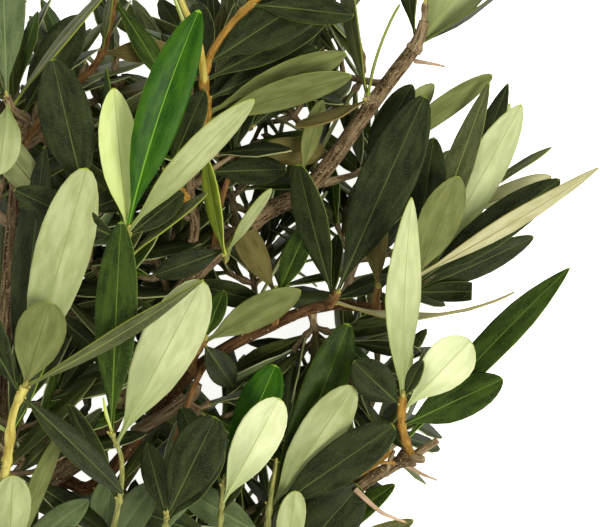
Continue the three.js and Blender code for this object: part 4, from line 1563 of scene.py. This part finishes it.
class BladeNodes:
    """Works out in nodes where each point of a blade goes: the rule of the solids' leaves, more finely."""

    TWIST_PIVOT = 0.3
    FOOT_POWER = 0.6
    TIP_SPAN = (0.2, 1.0)
    STALK_SPAN = (0.0, 0.13)
    STALK_THICKNESS = 0.4
    RIB_TIP = 0.12
    RIB_MOST = 0.3
    RIB_FADE = 0.75
    ROLL_POWER = 4.0
    RIPPLES = 10.0
    RIPPLE_START = 20.0

    def __init__(self, sheet: NodeSheet) -> None:
        """Starts from how far along its leaf each point is, in a tree whose inputs are the shared sizes."""
        self.sheet = sheet
        self.place = sheet.maths("MULTIPLY", sheet.named("t"), sheet.named("cut"))

    def spine(self) -> tuple[NodeSocket, NodeSocket, NodeSocket]:
        """Works out the line that the blade is bent along.

        Returns:
            The middle of the blade, and the ways that its left edge and its upper side face there.
        """
        sheet, place = self.sheet, self.place
        m, v, scaled = sheet.maths, sheet.vector, sheet.scaled
        length, bend, sag, twist = (sheet.named(name) for name in ("length", "bend", "sag", "twist"))
        root, along, up = (sheet.named(name, "FLOAT_VECTOR") for name in ("root", "along", "up"))
        across = v("CROSS_PRODUCT", up, along)
        half_bend = m("MULTIPLY", bend, 0.5)
        turn = m("MULTIPLY", bend, m("SUBTRACT", 0.5, place))
        reach = m("DIVIDE", length, m("MULTIPLY", 2.0, m("SINE", half_bend)))
        forward = m("MULTIPLY", reach, m("SUBTRACT", m("SINE", half_bend), m("SINE", turn)))
        arch = m("MULTIPLY", reach, m("SUBTRACT", m("COSINE", turn), m("COSINE", half_bend)))
        inner = m("MULTIPLY", place, m("SUBTRACT", 1.0, place))
        bow = m("MULTIPLY", m("MULTIPLY", m("MULTIPLY", sag, length), 4.0), inner)
        middle = sheet.total(root, scaled(along, forward), scaled(up, arch), scaled(across, bow))
        level = v("SUBTRACT", scaled(up, m("COSINE", turn)), scaled(along, m("SINE", turn)))
        swing = m("MULTIPLY", twist, m("SUBTRACT", place, self.TWIST_PIVOT))
        sideways = v("ADD", scaled(across, m("COSINE", swing)), scaled(level, m("SINE", swing)))
        normal = v("SUBTRACT", scaled(level, m("COSINE", swing)), scaled(across, m("SINE", swing)))
        return middle, sideways, normal

    def outline(self) -> tuple[NodeSocket, NodeSocket]:
        """Works out the outline and the thickness, from the round stalk to the flat blade.

        Returns:
            Half the width of the leaf and half its thickness.
        """
        sheet, place, m = self.sheet, self.place, self.sheet.maths
        power, roundness, wedge = (sheet.named(name) for name in ("power", "roundness", "wedge"))
        petiole, tip_width = sheet.taken("Petiole width"), sheet.taken("Tip width")
        belly = m("MAXIMUM", 0.0, m("SINE", m("MULTIPLY", math.pi, m("POWER", place, power))))
        foot = m("POWER", sheet.ramp(place, (0.0, wedge), (0.0, 1.0), smooth=True), self.FOOT_POWER)
        share = m("MULTIPLY", m("POWER", belly, roundness), foot)
        least = sheet.ramp(place, self.TIP_SPAN, (m("MULTIPLY", petiole, 0.5), m("MULTIPLY", tip_width, 0.5)))
        half = m("MAXIMUM", m("MULTIPLY", m("MULTIPLY", sheet.named("width"), 0.5), share), least)
        stalk = m("MULTIPLY", petiole, self.STALK_THICKNESS)
        blade = m("MULTIPLY", sheet.taken("Thickness"), 0.5)
        return half, sheet.ramp(place, self.STALK_SPAN, (stalk, blade), smooth=True)

    def section(self, half: NodeSocket, thick: NodeSocket) -> tuple[NodeSocket, NodeSocket]:
        """Works out where each point lies in the blade's section, with the fold, the rim and the midrib.

        Args:
            half: Half the width of the leaf.
            thick: Half its thickness.

        Returns:
            How far to the left of the middle line the point lies, and how far above it.
        """
        sheet, place, m = self.sheet, self.place, self.sheet.maths
        s, twist, rib_width = sheet.named("s"), sheet.named("twist"), sheet.taken("Rib width")
        foot, tip = m("MULTIPLY", rib_width, 0.5), m("MULTIPLY", rib_width, self.RIB_TIP)
        rib_half = sheet.ramp(place, (0.0, 1.0), (foot, tip))
        rib_half = m("MINIMUM", rib_half, m("MULTIPLY", half, self.RIB_MOST))
        flat = m("MULTIPLY", m("MULTIPLY", s, half), m("COSINE", sheet.taken("Fold")))
        outward = m("ADD", flat, m("MULTIPLY", sheet.named("rib"), rib_half))
        rise = m("MULTIPLY", m("MULTIPLY", m("ABSOLUTE", s), half), m("SINE", sheet.taken("Fold")))
        droop = m("MULTIPLY", m("POWER", m("ABSOLUTE", s), self.ROLL_POWER), half)
        droop = m("MULTIPLY", droop, sheet.taken("Margin roll"))
        ripple = m("ADD", m("MULTIPLY", place, self.RIPPLES), m("MULTIPLY", twist, self.RIPPLE_START))
        ripple = m("MULTIPLY", m("MULTIPLY", m("SINE", ripple), sheet.named("wave")), half)
        fade = m("SUBTRACT", 1.0, m("MULTIPLY", place, self.RIB_FADE))
        keel = m("MULTIPLY", m("MULTIPLY", sheet.named("sunk"), sheet.taken("Rib height")), fade)
        lifted = m("ADD", m("SUBTRACT", rise, droop), m("MULTIPLY", ripple, s))
        lifted = m("ADD", lifted, m("MULTIPLY", sheet.named("side"), thick))
        return outward, m("SUBTRACT", lifted, keel)

    def position(self) -> NodeSocket:
        """Puts the line, the outline and the section together, above the floor.

        Returns:
            Where each point of the blade goes.
        """
        sheet, m = self.sheet, self.sheet.maths
        middle, sideways, normal = self.spine()
        half, thick = self.outline()
        heights = sheet.add("ShaderNodeSeparateXYZ", {0: middle}).outputs[2]
        lean = m("ABSOLUTE", sheet.add("ShaderNodeSeparateXYZ", {0: sideways}).outputs[2])
        low = m("SUBTRACT", m("SUBTRACT", heights, m("MULTIPLY", lean, half)), thick)
        raised = m("MAXIMUM", 0.0, m("MULTIPLY", low, -1.0))
        lift = sheet.add("ShaderNodeCombineXYZ", {2: raised}).outputs[0]
        outward, height = self.section(half, thick)
        return sheet.total(middle, lift, sheet.scaled(sideways, outward), sheet.scaled(normal, height))


@dataclass
class Foliage:
    """All leaves, joined by kind. Sizes are in millimetres."""

    plan: BranchPlan
    shift: Vector
    fold: float = 9
    thickness: float = 0.5
    petiole: float = 1.25
    tip_width: float = 0.25
    rib_width: float = 0.62
    ridge: float = 0.3
    margin_roll: float = 0.1
    twist_play: tuple[float, float] = (-0.3, 0.3)
    wave_play: tuple[float, float] = (0, 0.12)
    play_seed: int = 88

    FULL_SEGMENTS = 14
    PLAIN_SEGMENTS = 7
    STALK_SEGMENTS = 1
    FULL_HALF = (0.32, 0.64, 0.9)
    PLAIN_HALF = ()
    RIB_GROOVE = 0.3
    GRAIN_DRAW = 0.3
    UPPER, UNDERSIDE, RIB, MARGIN = range(4)

    @staticmethod
    def section(shares: Sequence[float]) -> list[tuple[float, int, int]]:
        """Lists the points round a blade: place across it, side of the midrib and side of the blade.

        Args:
            shares: Where its lines run between midrib and rim, as shares of the half width.

        Returns:
            The points of the upper side, then those of the underside the other way.
        """
        outward = [*shares, 1]
        across = [*(-share for share in reversed(outward)), 0, 0, *outward]
        rib = [*(0 for _ in outward), -1, 1, *(0 for _ in outward)]
        top = list(zip(across, rib, [1] * len(across)))
        return [*top, *((s, r, -1) for s, r, _ in reversed(top))]

    def surfaces(self, count: int, tinted_rim: bool) -> list[int]:
        """Lists the surface that each face round a blade belongs to.

        Args:
            count: How many faces there are round it.
            tinted_rim: Whether the faces of the rim have a colour of their own.

        Returns:
            One surface for each face.
        """
        half = count // 2
        middle = half // 2 - 1
        rim = self.MARGIN if tinted_rim else self.UNDERSIDE
        found = []
        for j in range(count):
            on_top, on_bottom = j < half - 1, half <= j < count - 1
            is_rib = (on_top and j == middle) or (on_bottom and j - half == middle)
            side = self.UPPER if on_top else self.UNDERSIDE if on_bottom else rim
            found.append(self.RIB if is_rib else side)
        return found

    def blade(self, name: str, segments: int, shares: Sequence[float], tip_segments: int) -> Object:
        """Makes a flat template of a blade, whose points carry their place on it.

        Args:
            name: The template's name.
            segments: How many stretches it has along its length.
            shares: Where its lines run between midrib and rim, as shares of the half width.
            tip_segments: How many stretches at the tip take the colour of the rim.

        Returns:
            The template.
        """
        ring = self.section(shares)
        points, faces, kinds = [], [], []
        columns = {"t": [], "s": [], "rib": [], "side": [], "sunk": []}
        for i in range(segments + 1):
            place = (1 - math.cos(math.pi * i / segments)) / 2
            for s, r, side in ring:
                points.append((place, s, side))
                sunk = 0 if not r else self.RIB_GROOVE if side > 0 else 1
                for key, value in zip(columns, (place, s, r, side, sunk)):
                    columns[key].append(value)
        count = len(ring)
        surfaces = self.surfaces(count, tip_segments > 0)
        for i in range(segments):
            for j in range(count):
                a, b = i * count + j, i * count + (j + 1) % count
                faces.append((a, a + count, b + count, b))
            at_tip, at_stalk = i >= segments - tip_segments, i < self.STALK_SEGMENTS
            kinds += [self.MARGIN] * count if at_tip else [self.RIB] * count if at_stalk else surfaces
        faces.append(tuple(range(count)))
        faces.append(tuple(segments * count + j for j in reversed(range(count))))
        kinds += [self.MARGIN, self.MARGIN]
        mesh = bpy.data.meshes.new(name)
        mesh.from_pydata(points, [], faces)
        for key, column in columns.items():
            mesh.attributes.new(key, "FLOAT", "POINT").data.foreach_set("value", column)
        mesh.attributes.new("surface", "INT", "FACE").data.foreach_set("value", kinds)
        return put(name, mesh)

    def tree(self) -> NodeSheet:
        """Lays out the tree that puts a blade on every spot and bends it to that leaf's own shape.

        Returns:
            The tree.
        """
        sheet = NodeSheet("leaf_growth")
        full, plain = sheet.given("Full blade", "Object"), sheet.given("Plain blade", "Object")
        sizes = ("Fold", "Thickness", "Petiole width", "Tip width", "Rib width", "Rib height", "Margin roll")
        for name in sizes:
            sheet.given(name)
        finishes = [sheet.given(name, "Material") for name in ("Upper", "Underside", "Rib", "Margin")]
        near = sheet.named("near", "BOOLEAN")
        far = sheet.add("FunctionNodeBooleanMath", {0: near}, operation="NOT").outputs[0]
        joined = sheet.add("GeometryNodeJoinGeometry", {})
        for template, chosen in ((plain, far), (full, near)):
            shape = sheet.add("GeometryNodeObjectInfo", {"Object": template}).outputs["Geometry"]
            links = {"Points": sheet.entry.outputs[0], "Selection": chosen, "Instance": shape}
            spots = sheet.add("GeometryNodeInstanceOnPoints", links)
            sheet.tree.links.new(spots.outputs[0], joined.inputs[0])
        realized = sheet.add("GeometryNodeRealizeInstances", {0: joined.outputs[0]})
        grained = sheet.stored(realized.outputs[0], "grain", self.grain_nodes(sheet))
        links = {"Geometry": grained, "Position": BladeNodes(sheet).position()}
        bent = sheet.add("GeometryNodeSetPosition", links)
        shaded = sheet.add("GeometryNodeSetShadeSmooth", {0: bent.outputs[0]}).outputs[0]
        surface = sheet.named("surface", "INT")
        for number, finish in enumerate(finishes):
            links = {2: surface, 3: number}
            chosen = sheet.add("FunctionNodeCompare", links, data_type="INT", operation="EQUAL").outputs[0]
            links = {"Geometry": shaded, "Selection": chosen, "Material": finish}
            shaded = sheet.add("GeometryNodeSetMaterial", links).outputs[0]
        sheet.end(shaded)
        return sheet

    def grain_nodes(self, sheet: NodeSheet) -> NodeSocket:
        """Works out where each point lies in its leaf's grain, which is drawn out along the leaf.

        Args:
            sheet: The tree.

        Returns:
            The place in the grain.
        """
        half = sheet.maths("MULTIPLY", sheet.named("width"), 0.5)
        drawn = sheet.maths("MULTIPLY", sheet.named("length"), self.GRAIN_DRAW)
        across = sheet.maths("MULTIPLY", sheet.named("s"), half)
        run = sheet.maths("MULTIPLY", sheet.named("t"), drawn)
        flat = sheet.add("ShaderNodeCombineXYZ", {0: across, 1: run, 2: sheet.named("twist")}).outputs[0]
        return sheet.vector("ADD", flat, sheet.named("root", "FLOAT_VECTOR"))

    def spots(self, kind: LeafKind, stream: SeededStream) -> Mesh:
        """Returns the spots of all leaves of a kind, each with that leaf's sizes in metres.

        Args:
            kind: The kind of leaf.
            stream: Where the play in twist and wave comes from.

        Returns:
            A mesh of bare points.
        """
        leaves = [leaf for leaf in self.plan.leaves if leaf.kind is kind]
        values = {
            "root": [(leaf.root + self.shift) * MM for leaf in leaves],
            "along": [leaf.along for leaf in leaves],
            "up": [leaf.up for leaf in leaves],
            "length": [leaf.length * MM for leaf in leaves],
            "width": [leaf.width * MM for leaf in leaves],
            "bend": [math.radians(leaf.bend) for leaf in leaves],
            "sag": [leaf.sag for leaf in leaves],
            "cut": [leaf.cut for leaf in leaves],
            "near": [float(leaf.near) for leaf in leaves],
            "twist": [stream.between(*self.twist_play) for _ in leaves],
            "wave": [stream.between(*self.wave_play) for _ in leaves],
        }
        for i, key in enumerate(("power", "roundness", "wedge")):
            values[key] = [leaf.form.value[i] for leaf in leaves]
        return point_mesh(f"leaf_spots_{kind.value}", [Vector((0, 0, 0))] * len(leaves), [], values)

    def build(self) -> list[Object]:
        """Grows the leaves of every kind.

        Returns:
            One piece for each kind of leaf.
        """
        full = self.blade("full_blade", self.FULL_SEGMENTS, self.FULL_HALF, 1)
        plain = self.blade("plain_blade", self.PLAIN_SEGMENTS, self.PLAIN_HALF, 0)
        sheet = self.tree()
        stream = SeededStream(self.play_seed)
        sizes = {
            "Full blade": full, "Plain blade": plain, "Fold": math.radians(self.fold),
            "Thickness": self.thickness * MM, "Petiole width": self.petiole * MM,
            "Tip width": self.tip_width * MM, "Rib width": self.rib_width * MM,
            "Rib height": self.ridge * MM, "Margin roll": self.margin_roll,
        }
        pieces = []
        for kind, look in LEAF_FINISHES.items():
            dress = {part: finish.material() for part, finish in look.finishes(kind.value).items()}
            mesh = sheet.grow(self.spots(kind, stream), {**sizes, **dress})
            shoots = {leaf.shoot for leaf in self.plan.leaves if leaf.kind is kind}
            pieces.append(dressed_piece(f"leaves_{kind.value}", mesh, shoots))
        for template in (full, plain):
            bpy.data.meshes.remove(template.data)
        return pieces


@dataclass
class Wood:
    """Limbs and twigs with bark, the buds and corky spots on them, and the cut face. Millimetres."""

    plan: BranchPlan
    shift: Vector
    limb_step: float = 0.9
    twig_step: float = 1.1
    fewest_stretches: int = 4
    limb_sides: int = 22
    twig_sides: int = 10
    limb_relief: float = 0.34
    twig_relief: float = 0.16
    relief_scale: float = 1.6
    relief_detail: float = 4.0
    limb_grain: float = 0.1
    twig_grain: float = 0.3
    seed_step: float = 3.1
    twig_seed: float = 1.7
    run_step: float = 9.0
    sunk_at_tip: float = 1.5
    sunk_share: float = 0.8
    collar: float = 2.5
    collar_swell: float = 0.25
    node_swell: float = 0.45
    node_length: float = 1.3
    streak: float = 0.14
    tip_bud: tuple[float, float] = (0.9, 2.6)
    axil: float = 1.3
    axil_lean: float = 0.8
    axil_bud: tuple[float, float] = (0.55, 1.1)
    spot_density: float = 36000
    spot_size: float = 0.36
    spot_seed: int = 12

    BUD_SHAPE = {"Segments": 7, "Rings": 5, "Radius": 1.0}
    SPOT_SHAPE = {"Segments": 6, "Rings": 4, "Radius": 1.0}
    SPOT_SPREAD = {2: 0.5, 3: 1.0, "Seed": 3}
    SPOT_FLATNESS = 0.4
    SMALL_FACE = 4

    def tree(self) -> NodeSheet:
        """Lays out the tree that puts bark with lengthwise relief over bare lines.

        Returns:
            The tree.
        """
        sheet = NodeSheet("bark_growth")
        sides, relief = sheet.given("Sides", "Int"), sheet.given("Relief")
        grain, seed, streak = sheet.given("Grain"), sheet.given("Seed"), sheet.given("Streak")
        bark = sheet.given("Bark", "Material")
        m, v = sheet.maths, sheet.vector
        girth, run = sheet.named("girth"), sheet.named("run")
        line = sheet.add("GeometryNodeMeshToCurve", {0: sheet.entry.outputs[0]})
        circle = sheet.add("GeometryNodeCurvePrimitiveCircle", {"Resolution": sides, "Radius": 1.0})
        spot = sheet.add("GeometryNodeInputPosition", {}).outputs[0]
        profile = sheet.stored(circle.outputs[0], "around", spot)
        links = {"Curve": line.outputs[0], "Profile Curve": profile, "Scale": girth, "Fill Caps": True}
        tube = sheet.add("GeometryNodeCurveToMesh", links)
        drawn = sheet.add("ShaderNodeCombineXYZ", {2: m("MULTIPLY", run, grain)}).outputs[0]
        pattern = v("ADD", sheet.named("around", "FLOAT_VECTOR"), drawn)
        links = {"Vector": pattern, "W": seed, "Scale": self.relief_scale, "Detail": self.relief_detail}
        noise = sheet.add("ShaderNodeTexNoise", links, noise_dimensions="4D").outputs[0]
        height = m("MULTIPLY", m("SUBTRACT", noise, 0.5), m("MULTIPLY", relief, 2.0))
        out = sheet.scaled(sheet.add("GeometryNodeInputNormal", {}).outputs[0], height)
        streaked = sheet.add("ShaderNodeCombineXYZ", {2: m("MULTIPLY", run, streak)}).outputs[0]
        around = sheet.scaled(sheet.named("around", "FLOAT_VECTOR"), girth)
        grained = sheet.stored(tube.outputs[0], "grain", v("ADD", around, sheet.scaled(streaked, MM)))
        rough = sheet.add("GeometryNodeSetPosition", {"Geometry": grained, "Offset": out})
        sheet.end_smooth(rough.outputs[0], bark)
        return sheet

    def girth(
        self, twig: Twig, at: float, length: float, carrier: Twig | None, tip: bool, burr: float
    ) -> float:
        """Returns the radius of a limb or twig.

        Args:
            twig: The limb or twig.
            at: How far along it, in millimetres.
            length: Its whole length.
            carrier: What it grows from, if anything.
            tip: Whether it goes on from its carrier's tip.
            burr: The size of the burr at its end.

        Returns:
            The radius, with its collar, the swellings at its leaves and any burr.
        """
        radius = mix(*twig.radii, at / length)
        if carrier and tip:
            radius = mix(max(carrier.radii[1], radius), radius, min(1, at / self.collar))
        elif carrier:
            radius *= 1 + self.collar_swell * math.exp(-((at / self.collar) ** 2))
        swell = sum(math.exp(-(((at - s * length) / self.node_length) ** 2)) for s in set(twig.swellings))
        radius += self.node_swell * min(1, swell)
        return max(radius, burr * math.exp(-(((length - at) / BURR_LENGTH) ** 2)))

    def strand(self, name: str, twigs: Sequence[Twig], step: float) -> Mesh:
        """Returns bare lines along several limbs or twigs, whose points carry radius and run.

        Args:
            name: The mesh's name.
            twigs: The limbs or twigs.
            step: How far apart the points are.

        Returns:
            A mesh of points and edges in the part's frame.
        """
        points, edges, girths, runs = [], [], [], []
        for number, twig in enumerate(twigs):
            on = RULES[twig.shoot].on if not twig.thin else None
            carrier = self.plan.limbs[on[0]] if on else None
            tip = bool(on) and on[1] == 1
            burr = RULES[twig.shoot].burr if isinstance(RULES[twig.shoot], LimbRule) and not twig.thin else 0
            length = twig.path.length()
            count = max(self.fewest_stretches, round(length / step))
            places = [(twig.path.point(i / count), length * i / count) for i in range(count + 1)]
            if twig.out is not None:
                sunk = self.sunk_at_tip if tip or carrier is None else self.sunk_share * carrier.radii[1]
                places.insert(0, (twig.path.point(0) - twig.out * sunk, 0))
            edges += [(i, i + 1) for i in range(len(points), len(points) + len(places) - 1)]
            for place, at in places:
                points.append((place + self.shift) * MM)
                girths.append(self.girth(twig, at, length, carrier, tip, burr) * MM)
                runs.append(number * self.run_step + at)
        return point_mesh(name, points, edges, {"girth": girths, "run": runs})

    def bud_tree(self) -> NodeSheet:
        """Lays out the tree that sets a pointed bud on every point, along that point's own heading.

        Returns:
            The tree.
        """
        sheet = NodeSheet("bud_growth")
        skin = sheet.given("Skin", "Material")
        bud = sheet.add("GeometryNodeMeshUVSphere", self.BUD_SHAPE).outputs[0]
        links = {"Vector": sheet.named("heading", "FLOAT_VECTOR")}
        turn = sheet.add("FunctionNodeAlignEulerToVector", links, axis="Z").outputs[0]
        girth = sheet.named("girth")
        size = sheet.add("ShaderNodeCombineXYZ", {0: girth, 1: girth, 2: sheet.named("reach")}).outputs[0]
        links = {"Points": sheet.entry.outputs[0], "Instance": bud, "Rotation": turn, "Scale": size}
        sheet.end_smooth(sheet.add("GeometryNodeInstanceOnPoints", links).outputs[0], skin)
        return sheet

    def buds(self) -> Object:
        """Grows a bud at the tip of every twig and in the axil of every leaf that is seen close.

        Returns:
            One piece.
        """
        spots = [
            (twig.path.point(1), twig.path.tangent(1), *(size * twig.radii[1] for size in self.tip_bud))
            for twig in self.plan.twigs if twig.shoot not in LIMBS
        ]
        for leaf in self.plan.leaves:
            if leaf.near:
                heading = (leaf.along + leaf.up * self.axil_lean).normalized()
                spots.append((leaf.root + heading * self.axil, heading, *self.axil_bud))
        places, headings, girths, reaches = zip(*spots)
        values = {
            "heading": list(headings), "girth": [girth * MM for girth in girths],
            "reach": [reach * MM for reach in reaches],
        }
        source = point_mesh("bud_spots", [(place + self.shift) * MM for place in places], [], values)
        mesh = self.bud_tree().grow(source, {"Skin": BUD_SKIN.material()})
        return dressed_piece("buds", mesh, [])

    def spot_tree(self) -> NodeSheet:
        """Lays out the tree that scatters flat corky spots over bark.

        Returns:
            The tree.
        """
        sheet = NodeSheet("corky_spot_growth")
        density, seed, size = sheet.given("Density"), sheet.given("Seed", "Int"), sheet.given("Size")
        cork = sheet.given("Cork", "Material")
        links = {"Mesh": sheet.entry.outputs[0], "Density": density, "Seed": seed}
        scattered = sheet.add("GeometryNodeDistributePointsOnFaces", links)
        shape = sheet.add("GeometryNodeMeshUVSphere", self.SPOT_SHAPE).outputs[0]
        spread = sheet.add("FunctionNodeRandomValue", self.SPOT_SPREAD, data_type="FLOAT").outputs[1]
        wide = sheet.maths("MULTIPLY", size, spread)
        flat = sheet.maths("MULTIPLY", wide, self.SPOT_FLATNESS)
        scale = sheet.add("ShaderNodeCombineXYZ", {0: wide, 1: wide, 2: flat}).outputs[0]
        points, turn = scattered.outputs["Points"], scattered.outputs["Rotation"]
        links = {"Points": points, "Instance": shape, "Rotation": turn, "Scale": scale}
        sheet.end_smooth(sheet.add("GeometryNodeInstanceOnPoints", links).outputs[0], cork)
        return sheet

    def spots(self, barks: Sequence[Object]) -> Object:
        """Scatters corky spots over the limbs' bark.

        Args:
            barks: The limbs' finished pieces.

        Returns:
            One piece.
        """
        whole = bmesh.new()
        for bark in barks:
            whole.from_mesh(bark.data)
        source = bpy.data.meshes.new("all_bark")
        whole.to_mesh(source)
        whole.free()
        values = {
            "Density": self.spot_density, "Seed": self.spot_seed, "Size": self.spot_size * MM,
            "Cork": CORK.material(),
        }
        return dressed_piece("bark_spots", self.spot_tree().grow(source, values), [])

    def dress_cut(self, mesh: Mesh) -> None:
        """Gives the cut face at the stem's foot its own finish.

        Args:
            mesh: The main stem's bark, whose ends are its only large faces.
        """
        foot = (self.plan.limbs["main_stem"].path.point(0) + self.shift) * MM
        caps = (face for face in mesh.polygons if len(face.vertices) > self.SMALL_FACE)
        mesh.materials.append(CUT_WOOD.material())
        min(caps, key=lambda face: (face.center - foot).length).material_index = len(mesh.materials) - 1

    def build(self) -> list[Object]:
        """Lays the bark over every limb and twig.

        Returns:
            One piece for each limb, one for each kind of young bark, and the small things on them.
        """
        sheet = self.tree()
        pieces = []
        for number, (name, limb) in enumerate(self.plan.limbs.items()):
            bark = BOUGH_BARKS.get(name, OLD_BARK)
            values = {
                "Sides": self.limb_sides, "Relief": self.limb_relief * MM, "Grain": self.limb_grain,
                "Streak": self.streak, "Seed": number * self.seed_step, "Bark": bark.material(),
            }
            mesh = sheet.grow(self.strand(f"line_{name}", [limb], self.limb_step), values)
            if name == "main_stem":
                self.dress_cut(mesh)
            pieces.append(dressed_piece(f"bark_{name}", mesh, [name]))
        pieces.append(self.spots(pieces))
        for kind, finish in TWIG_FINISHES.items():
            twigs = [twig for twig in self.plan.twigs if twig.bark is kind]
            values = {
                "Sides": self.twig_sides, "Relief": self.twig_relief * MM, "Grain": self.twig_grain,
                "Streak": self.streak, "Seed": self.twig_seed, "Bark": finish.material(),
            }
            mesh = sheet.grow(self.strand(f"line_twigs_{kind.value}", twigs, self.twig_step), values)
            pieces.append(dressed_piece(f"twigs_{kind.value}", mesh, {twig.shoot for twig in twigs}))
        pieces.append(self.buds())
        return pieces


@dataclass(frozen=True)
class Lamp:
    """A soft square light: where it stands, the length of its side, its power in watts and its colour."""

    place: Point
    side: float
    watts: float
    colour: Point


LAMPS = {
    "key_light": Lamp((1.2, -0.5, 1.8), 0.8, 43, (1, 0.97, 0.86)),
    "fill_light": Lamp((-1.4, 0.9, 1.6), 1.4, 16, (1, 0.985, 0.92)),
}


@dataclass
class Studio:
    """The plain pale floor, the soft lights, and the camera that looks straight down. Metres."""

    centre: Vector
    floor_side: float = 9
    floor_paint: Paint = (0.9, 0.9, 0.9, 1)
    floor_roughness: float = 0.9
    floor_gloss: float = 0.1
    floor_glow: float = 0.85
    room_colour: Paint = (1, 0.98, 0.9, 1)
    room_light: float = 0.6
    camera_height: float = 1.06
    view_width: float = 0.2
    view_distance: float = 1.0
    sensor: float = 36
    clip: tuple[float, float] = (0.05, 30)

    def floor(self) -> None:
        """Lays the floor."""
        half = self.floor_side / 2
        mesh = bpy.data.meshes.new("floor")
        corners = [(-half, -half, 0), (half, -half, 0), (half, half, 0), (-half, half, 0)]
        mesh.from_pydata(corners, [], [(0, 1, 2, 3)])
        sheet = PaintSheet("floor_paint")
        look = {
            "Base Color": self.floor_paint, "Roughness": self.floor_roughness, "Emission Color": WHITE,
            "Specular IOR Level": self.floor_gloss, "Emission Strength": self.floor_glow,
        }
        sheet.give(sheet.shader, look)
        mesh.materials.append(sheet.material)
        put("floor", mesh)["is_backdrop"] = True

    def light(self, name: str, lamp: Lamp) -> None:
        """Adds a light that faces the branch and that the camera doesn't see.

        Args:
            name: The light's name.
            lamp: What it is like.
        """
        source = bpy.data.lights.new(name, "AREA")
        source.size, source.energy, source.color = lamp.side, lamp.watts, lamp.colour
        light = put(name, source)
        light.location = lamp.place
        light.rotation_mode = "QUATERNION"
        light.rotation_quaternion = (-Vector(lamp.place)).to_track_quat("-Z", "Y")
        light.visible_camera = False

    def camera(self) -> None:
        """Sets up the camera, straight above the middle of the view."""
        lens = bpy.data.cameras.new("camera")
        lens.sensor_width = self.sensor
        lens.lens = self.sensor * self.view_distance / self.view_width
        lens.clip_start, lens.clip_end = self.clip
        camera = put("camera", lens)
        camera.location = (self.centre.x, self.centre.y, self.camera_height + self.centre.z)
        bpy.context.scene.camera = camera

    def world(self) -> None:
        """Gives the room its plain pale light."""
        world = bpy.data.worlds.new("room")
        world.use_nodes = True
        background = world.node_tree.nodes["Background"]
        background.inputs["Color"].default_value = self.room_colour
        background.inputs["Strength"].default_value = self.room_light
        bpy.context.scene.world = world

    def build(self) -> None:
        """Sets up the floor, the lights, the camera and the plain view."""
        self.floor()
        for name, lamp in LAMPS.items():
            self.light(name, lamp)
        self.world()
        self.camera()
        bpy.context.scene.view_settings.view_transform = "Standard"
        log.info("studio: floor, lights and camera")


def shift_of(plan: BranchPlan) -> Vector:
    """Works out how far the part's frame lies from the rule's own, by the middle of the main stem.

    Args:
        plan: The plan of the branch.

    Returns:
        The distance in millimetres.
    """
    stem = plan.limb_skins[0]
    low, high = (Vector(corner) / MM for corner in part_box("main_stem"))
    return (low + high - Vector(stem.low) - Vector(stem.high)) / 2


def main() -> None:
    """Builds the branch and its studio, in order."""
    logging.basicConfig(level=logging.INFO, format="%(name)s: %(message)s")
    plan = BranchPlan()
    shift = shift_of(plan)
    log.info("plan: %d limbs, %d twigs, %d leaves", len(plan.limbs), len(plan.twigs), len(plan.leaves))
    log.info("shift: %.3f, %.3f, %.3f mm", *shift)
    pieces = [*Wood(plan, shift).build(), *Foliage(plan, shift).build()]
    log.info("dressed: %d pieces", len(pieces))
    Studio(shift * MM).build()
    boxes = {"cad": CAD_BOX, "visual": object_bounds()}
    {key: [list(corner) for corner in box] for key, box in boxes.items()}


if __name__ == "__main__":
    main()
